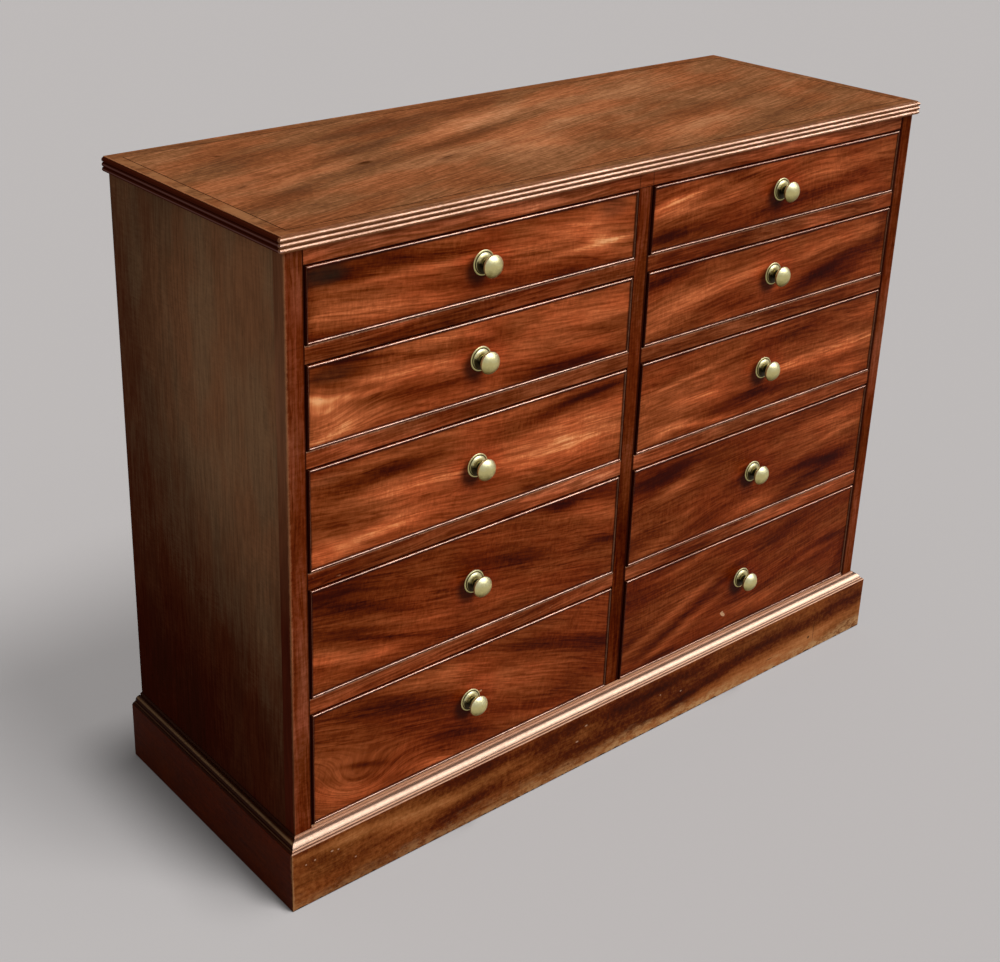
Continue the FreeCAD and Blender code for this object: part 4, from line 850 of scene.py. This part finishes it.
def mouldingFinish():
    work = startTimber("mouldingPolish", mouldingLook)
    tree, look = work.tree, work.look
    axes = put(tree, "ShaderNodeSeparateXYZ", {0: vectorCalc(tree, "SCALE", work.place, 1000.0)}).outputs
    uneven = ease(tree, calc(tree, "ADD", work.grain["Cloud"], work.grain["Mottle"]), -0.2, 0.12, 0.75, 1.0)
    # pale colours of the bead, ovolo and reeds: painted highlight over partly worn polish
    isBead = ease(tree, axes[2], 100.6, 101.2)
    isReed = ease(tree, axes[2], 93.8, 93.4)
    worn = blendColour(tree, isBead, blendColour(tree, isReed, look["ovolo"], look["reed"]), look["bead"])
    front = blendColour(tree, calc(tree, "MULTIPLY", uneven, 0.85), work.colour, worn)
    # painted shade in the quirks between the bead, ovolo and reeds
    for height in (100.5, 94.1, 91.8):
        near = calc(tree, "ABSOLUTE", calc(tree, "SUBTRACT", axes[2], height))
        front = blendColour(tree, ease(tree, near, 0.2, 0.7, 0.85, 0.0), front, look["gap"])
    # on the ends the moulding is dark, with one thin rubbed line
    past = calc(tree, "SUBTRACT", calc(tree, "ABSOLUTE", axes[0]), 567.0)
    ahead = calc(tree, "SUBTRACT", chest["frontY"], axes[1])
    onEnd = ease(tree, calc(tree, "SUBTRACT", past, ahead), -0.2, 0.2)
    line = ease(tree, calc(tree, "ABSOLUTE", calc(tree, "SUBTRACT", axes[2], 99.0)), 0.3, 1.5, 1.0, 0.0)
    second = ease(tree, calc(tree, "ABSOLUTE", calc(tree, "SUBTRACT", axes[2], 92.8)), 0.2, 0.9, 0.3, 0.0)
    line = calc(tree, "MULTIPLY", calc(tree, "MAXIMUM", line, second), uneven)
    dark = blendColour(tree, line, look["endTone"], look["endLine"])
    work.colour = blendColour(tree, onEnd, front, dark)
    coat = ease(tree, isBead, 0.0, 1.0, look["ovoloCoat"], look["beadCoat"])
    coat = calc(tree, "MULTIPLY", ease(tree, isReed, 0.0, 1.0, 1.0, look["reedCoat"] / look["ovoloCoat"]), coat)
    coat = calc(tree, "MULTIPLY", coat, ease(tree, uneven, 0.3, 1.0, 0.6, 1.0))
    work.coat = calc(tree, "MULTIPLY", coat, calc(tree, "SUBTRACT", 1.0, onEnd))
    return finishTimber(work)


dress(mouldingFinish(), "plinth_moulding")
print("ends and plinth finished")


# unpolished timber inside and behind
oakLook = {
    "colours": agedOak, "base": 0.5, "plane": "side", "seed": 51.0, "roughness": 0.7, "specular": 0.25,
    "coat": 0.0, "fine": 0.9, "pore": 0.5, "bump": 0.5, "fleck": 0.1,
}
pineLook = {
    "colours": agedPine, "base": 0.5, "seed": 61.0, "roughness": 0.75, "specular": 0.2, "coat": 0.0,
    "streak": 1.3, "fine": 0.6, "fleck": 0.05, "cloud": 0.7, "pore": 0.15, "bump": 0.5, "coarse": 0.75,
}


def oakFinish():
    work = startTimber("oakLining", oakLook)
    tree, look = work.tree, work.look
    axes = put(tree, "ShaderNodeSeparateXYZ", {0: vectorCalc(tree, "SCALE", work.place, 1000.0)}).outputs
    handled = ease(tree, axes[1], -120.0, -175.0, 0.0, 0.35)
    work.colour = blendColour(tree, handled, work.colour, (0.12, 0.06, 0.028))
    return finishTimber(work)


def pineFinish(name, extra):
    work = startTimber(name, {**pineLook, **extra})
    tree = work.tree
    axes = put(tree, "ShaderNodeSeparateXYZ", {0: vectorCalc(tree, "SCALE", work.place, 1000.0)}).outputs
    dust = ease(tree, calc(tree, "MULTIPLY_ADD", work.grain["Cloud"], 500.0, axes[2]), 150.0, 420.0, 0.45, 0.0)
    work.colour = blendColour(tree, dust, work.colour, (0.16, 0.1, 0.06))
    if "boardWidth" in work.look:  # each board has its own tone, and a dark joint between
        at = calc(tree, "DIVIDE", calc(tree, "SUBTRACT", axes[0], work.look["firstBoard"]), work.look["boardWidth"])
        own = put(tree, "ShaderNodeTexWhiteNoise", {"W": calc(tree, "FLOOR", at)}, noise_dimensions="1D").outputs[0]
        shade = calc(tree, "MULTIPLY_ADD", own, 0.5, 0.72)
        work.colour = vectorCalc(tree, "SCALE", work.colour, shade)
        joint = calc(tree, "ABSOLUTE", calc(tree, "SUBTRACT", calc(tree, "FRACT", calc(tree, "ADD", at, 0.5)), 0.5))
        joint = ease(tree, joint, 0.004, 0.009, 0.85, 0.0)
        work.colour = blendColour(tree, joint, work.colour, (0.03, 0.02, 0.012))
    if "lip" in work.look:  # the front edge that shows over the plinth is painted pale as a highlight
        work.colour = blendColour(tree, ease(tree, axes[1], -183.0, -186.0), work.colour, work.look["lip"])
    return finishTimber(work)


dress(oakFinish(), *[n for n in nodes if n.endswith("_box")])
dress(pineFinish("backPine", {"grain": "up", "base": 0.42, "streak": 0.7, "line": 0.5, "boardWidth": 185.7,
                              "firstBoard": -557.0}), "back_boards")
dress(pineFinish("innerPineUp", {"plane": "side", "grain": "up", "seed": 63.0}), "centre_partition")
dress(pineFinish("innerPineDeep", {"plane": "side", "seed": 64.0}), "drawer_runners", "drawer_stops")
dress(pineFinish("innerPineWide", {"seed": 65.0}), "glue_blocks")
dress(pineFinish("bottomPine", {"seed": 66.0, "specular": 0.05, "lip": (0.6, 0.32, 0.185)}), "carcase_bottom")


# cut nails through the back boards: each row is (across, lowest, highest, how many)
nailLook = {
    "rows": [(-552.5, 140, 860, 7), (-4.7, 150, 850, 6), (4.7, 150, 850, 6), (552.5, 140, 860, 7)],
    "bottomRow": 99.0, "boardWidth": 185.7, "firstBoard": -557.0, "boards": 6, "back": 213.5,
    "headRadius": 2.6, "rise": 0.7, "jitter": 2.0, "seed": 4,
}


def nailTree():
    tree = bpy.data.node_groups.new("nailHeads", "GeometryNodeTree")
    tree.interface.new_socket("Geometry", in_out="INPUT", socket_type="NodeSocketGeometry")
    for label, kind in (("Head Radius", "Float"), ("Rise", "Float"), ("Jitter", "Float"), ("Seed", "Int"),
                        ("Finish", "Material")):
        tree.interface.new_socket(label, in_out="INPUT", socket_type="NodeSocket" + kind)
    tree.interface.new_socket("Geometry", in_out="OUTPUT", socket_type="NodeSocketGeometry")
    entry = tree.nodes.new("NodeGroupInput").outputs
    leave = tree.nodes.new("NodeGroupOutput").inputs
    ball = put(tree, "GeometryNodeMeshUVSphere", {"Segments": 10, "Rings": 6, "Radius": 1.0}).outputs["Mesh"]
    size = put(tree, "ShaderNodeCombineXYZ", {0: entry["Head Radius"], 1: entry["Rise"], 2: entry["Head Radius"]}).outputs[0]
    head = put(tree, "GeometryNodeTransform", {"Geometry": ball, "Scale": size}).outputs[0]
    stray = put(tree, "FunctionNodeRandomValue", data_type="FLOAT_VECTOR")
    stray.inputs[0].default_value = (-1.0, 0.0, -1.0)
    stray.inputs[1].default_value = (1.0, 0.0, 1.0)
    tree.links.new(entry["Seed"], stray.inputs["Seed"])
    offset = put(tree, "ShaderNodeVectorMath", {0: stray.outputs[0], "Scale": entry["Jitter"]}, operation="SCALE").outputs[0]
    moved = put(tree, "GeometryNodeSetPosition", {"Geometry": entry["Geometry"], "Offset": offset}).outputs[0]
    turn = put(tree, "FunctionNodeRandomValue", data_type="FLOAT_VECTOR")
    turn.inputs[0].default_value = (0.0, -3.1, 0.0)
    turn.inputs[1].default_value = (0.0, 3.1, 0.0)
    tree.links.new(entry["Seed"], turn.inputs["Seed"])
    placed = put(tree, "GeometryNodeInstanceOnPoints", {"Points": moved, "Instance": head, "Rotation": turn.outputs[0]}).outputs[0]
    solid = put(tree, "GeometryNodeRealizeInstances", {0: placed}).outputs[0]
    shown = put(tree, "GeometryNodeSetMaterial", {"Geometry": solid, "Material": entry["Finish"]}).outputs[0]
    tree.links.new(shown, leave[0])
    return tree


def ironFinish():
    material = bpy.data.materials.new("nailIron")
    material.use_nodes = True
    tree = material.node_tree
    tree.nodes.clear()
    inMm = vectorCalc(tree, "SCALE", put(tree, "ShaderNodeTexCoord").outputs["Object"], 1000.0)
    rust = noise(tree, inMm, 0.5, 4.0, 0.65).outputs[0]
    colour = blendColour(tree, ease(tree, rust, 0.4, 0.62), (0.05, 0.042, 0.038), (0.13, 0.05, 0.02))
    bump = put(tree, "ShaderNodeBump", {"Strength": 0.5, "Distance": 0.0002, "Height": rust})
    shader = put(tree, "ShaderNodeBsdfPrincipled", {"Base Color": colour, "Metallic": 0.6,
                 "Roughness": ease(tree, rust, 0.4, 0.62, 0.45, 0.85), "Normal": bump.outputs[0]})
    put(tree, "ShaderNodeOutputMaterial", {"Surface": shader.outputs[0]})
    return material


def backNails(look):
    places = [(x, low + (high - low) * i / (count - 1)) for x, low, high, count in look["rows"] for i in range(count)]
    for board in range(look["boards"]):
        left = look["firstBoard"] + board * look["boardWidth"]
        places += [(left + 22, look["bottomRow"]), (left + look["boardWidth"] - 22, look["bottomRow"])]
    mesh = bpy.data.meshes.new("back_nails")
    mesh.from_pydata([(x * mm, look["back"] * mm, z * mm) for x, z in places], [], [])
    nails = bpy.data.objects.new("back_nails", mesh)
    bpy.context.scene.collection.objects.link(nails)
    modifier = nails.modifiers.new("nailHeads", "NODES")
    modifier.node_group = nailTree()
    values = {"Head Radius": look["headRadius"] * mm, "Rise": look["rise"] * mm, "Jitter": look["jitter"] * mm,
              "Seed": look["seed"], "Finish": ironFinish()}
    for item in modifier.node_group.interface.items_tree:
        if item.in_out == "INPUT" and item.name in values:
            modifier[item.identifier] = values[item.name]
    made = nails.evaluated_get(bpy.context.evaluated_depsgraph_get())
    plain = bpy.data.meshes.new_from_object(made)
    nails.modifiers.clear()
    nails.data = plain
    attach(nails, "carcase")
    return nails


nails = backNails(nailLook)
print("back nailed:", len(nails.data.polygons), "faces")


# brass knobs: painted pale on the upward faces and olive on the downward ones as light and shade, painted shade black
# in the neck, and black patina in the groove of the rose
brassLook = {
    "top": (0.9, 0.87, 0.55), "middle": (0.77, 0.68, 0.3), "beneath": (0.24, 0.19, 0.05),
    "tarnishAndShade": (0.015, 0.008, 0.002), "roughness": 0.4, "neckFrom": 4.4, "neckTo": 12.5, "grooveRadius": 14.1,
}


def brassFinish(look):
    material = bpy.data.materials.new("agedBrass")
    material.use_nodes = True
    tree = material.node_tree
    tree.nodes.clear()
    where = put(tree, "ShaderNodeTexCoord").outputs
    inMm = vectorCalc(tree, "SCALE", where["Object"], 1000.0)
    axes = put(tree, "ShaderNodeSeparateXYZ", {0: inMm}).outputs
    facing = put(tree, "ShaderNodeSeparateXYZ", {0: where["Normal"]}).outputs
    cloud = noise(tree, inMm, 0.16, 4.0, 0.6).outputs[0]
    spots = noise(tree, inMm, 0.7, 3.0, 0.6).outputs[0]
    # painted highlight and shade: pale where the surface faces up, olive where it faces down; the spots are olive
    # patina
    lean = calc(tree, "MULTIPLY_ADD", calc(tree, "SUBTRACT", cloud, 0.5), 0.7, facing[2])
    colour = blendColour(tree, ease(tree, lean, -0.75, 0.1), look["beneath"], look["middle"])
    colour = blendColour(tree, ease(tree, lean, 0.05, 0.75), colour, look["top"])
    colour = blendColour(tree, ease(tree, spots, 0.62, 0.76, 0.0, 0.35), colour, look["beneath"])
    depth = calc(tree, "SUBTRACT", chest["frontY"], axes[1])
    column = calc(tree, "MULTIPLY", put(tree, "ShaderNodeMath", {0: axes[0]}, operation="SIGN").outputs[0], chest["columnX"])
    across = calc(tree, "SUBTRACT", axes[0], column)
    up = 500.0
    for row in range(1, 6):  # the nearest knob's own height, with its sign
        own = calc(tree, "SUBTRACT", axes[2], drawerMiddle("left", row)[1])
        nearer = calc(tree, "LESS_THAN", calc(tree, "ABSOLUTE", own), 30.0)
        up = calc(tree, "ADD", calc(tree, "MULTIPLY", own, nearer),
                  calc(tree, "MULTIPLY", up, calc(tree, "SUBTRACT", 1.0, nearer)))
    radius = calc(tree, "SQRT", calc(tree, "MULTIPLY_ADD", across, across, calc(tree, "MULTIPLY", up, up)))
    # painted shade: black in the neck between the rose and the head
    neck = calc(tree, "MULTIPLY", ease(tree, depth, look["neckFrom"], look["neckFrom"] + 1.2),
                ease(tree, depth, look["neckTo"] + 2.5, look["neckTo"]))
    neck = calc(tree, "MULTIPLY", neck, ease(tree, radius, 9.5, 7.5))
    groove = calc(tree, "MULTIPLY", ease(tree, depth, 4.0, 3.0),
                  ease(tree, calc(tree, "ABSOLUTE", calc(tree, "SUBTRACT", radius, look["grooveRadius"])), 0.4, 0.9, 1.0, 0.0))
    # painted shade in the lower left of the rose
    dirt = calc(tree, "MULTIPLY_ADD", across, -0.55, calc(tree, "MULTIPLY", up, -0.85))
    dirt = calc(tree, "MULTIPLY_ADD", calc(tree, "SUBTRACT", spots, 0.5), 8.0, dirt)
    dirt = calc(tree, "MULTIPLY", ease(tree, dirt, 0.5, 5.0), ease(tree, radius, 13.6, 12.6))
    dirt = calc(tree, "MULTIPLY", dirt, ease(tree, depth, 13.0, 10.0))
    shadeAndTarnish = calc(tree, "MAXIMUM", calc(tree, "MAXIMUM", neck, groove), dirt)
    colour = blendColour(tree, calc(tree, "MULTIPLY", shadeAndTarnish, 0.97), colour, look["tarnishAndShade"])
    rough = calc(tree, "MULTIPLY_ADD", cloud, 0.16, look["roughness"] - 0.06)
    bump = put(tree, "ShaderNodeBump", {"Strength": 0.12, "Distance": 0.0003, "Height": cloud})
    shader = put(tree, "ShaderNodeBsdfPrincipled", {"Base Color": colour, "Roughness": rough, "Metallic": 1.0,
                 "Normal": bump.outputs[0]})
    put(tree, "ShaderNodeOutputMaterial", {"Surface": shader.outputs[0]})
    return material


dress(brassFinish(brassLook), *[n for n in nodes if n.endswith("_knob")])
print("linings and brass finished")


# pale floor
floorLook = {"size": 30.0, "colour": (0.13, 0.1245, 0.123), "glow": 0.045, "roughness": 0.85}


def addFloor(look):
    mesh = bpy.data.meshes.new("studioFloor")
    shape = bmesh.new()
    bmesh.ops.create_grid(shape, x_segments=4, y_segments=4, size=look["size"])
    shape.to_mesh(mesh)
    shape.free()
    floor = bpy.data.objects.new("studioFloor", mesh)
    bpy.context.scene.collection.objects.link(floor)
    material = bpy.data.materials.new("studioFloor")
    material.use_nodes = True
    tree = material.node_tree
    tree.nodes.clear()
    shader = put(tree, "ShaderNodeBsdfPrincipled", {"Base Color": (*look["colour"], 1.0),
                 "Roughness": look["roughness"], "Specular IOR Level": 0.0,
                 "Emission Color": (*look["colour"], 1.0), "Emission Strength": look["glow"] / look["colour"][0]})
    put(tree, "ShaderNodeOutputMaterial", {"Surface": shader.outputs[0]})
    mesh.materials.append(material)
    return floor


# studio light: an even sky, a soft high key and a softer light from the right on the chest; shadeLight and footLight
# fall on the floor alone and give the long shadow and the dark foot of it, edgeLight is a bright strip that only the
# beads, reeds and moulding reflect
lightLook = {
    "sky": (1.0, 0.985, 0.975), "skyStrength": 0.44,
    "lamps": {
        "keyLight": {"from": (0.15, -0.42, 0.9), "strength": 1.3, "angle": 36.0, "colour": (1.0, 0.98, 0.96)},
        "sideLight": {"from": (0.55, -0.5, 0.7), "strength": 0.75, "angle": 36.0, "colour": (1.0, 0.96, 0.92)},
        "shadeLight": {"from": (0.21, -0.43, 0.88), "strength": 5.4, "angle": 20.0, "colour": (1.0, 1.0, 1.0)},
        "footLight": {"from": (0.07, -0.05, 1.0), "strength": 4.65, "angle": 8.0, "colour": (1.0, 1.0, 1.0)},
        "edgeLight": {"from": (0.66, -0.66, 0.36), "strength": 42.0, "angle": 56.0, "colour": (1.0, 0.72, 0.56)},
    },
}


def lightOnly(lamp, pieces):
    lit = bpy.data.collections.new(lamp.name + "Pieces")
    for piece in pieces:
        lit.objects.link(piece)
    lamp.light_linking.receiver_collection = lit


def addLights(look, floor, chestPieces, edgePieces):
    scene = bpy.context.scene
    scene.view_settings.view_transform = "Standard"
    world = bpy.data.worlds.new("studioSky")
    scene.world = world
    world.use_nodes = True
    tree = world.node_tree
    tree.nodes.clear()
    sky = put(tree, "ShaderNodeBackground", {"Color": (*look["sky"], 1.0), "Strength": look["skyStrength"]})
    put(tree, "ShaderNodeOutputWorld", {"Surface": sky.outputs[0]})
    for name, lamp in look["lamps"].items():
        light = bpy.data.lights.new(name, "SUN")
        light.energy = lamp["strength"]
        light.angle = math.radians(lamp["angle"])
        light.color = lamp["colour"]
        placed = bpy.data.objects.new(name, light)
        placed.rotation_euler = Vector(lamp["from"]).to_track_quat("Z", "Y").to_euler()
        scene.collection.objects.link(placed)
        if name in ("shadeLight", "footLight"):
            lightOnly(placed, [floor])
        elif name == "keyLight":
            lightOnly(placed, chestPieces)
        elif name == "edgeLight":
            placed.visible_diffuse = False
            lightOnly(placed, edgePieces)


floor = addFloor(floorLook)
edgePieces = [nodes[n] for n in nodes if n.endswith("_cock_beads")] + [nodes["plinth_moulding"], nodes["top_board"]]
chestPieces = list(nodes.values()) + list(eased.values()) + [nails]
addLights(lightLook, floor, chestPieces, edgePieces)
print("floor and lights placed")
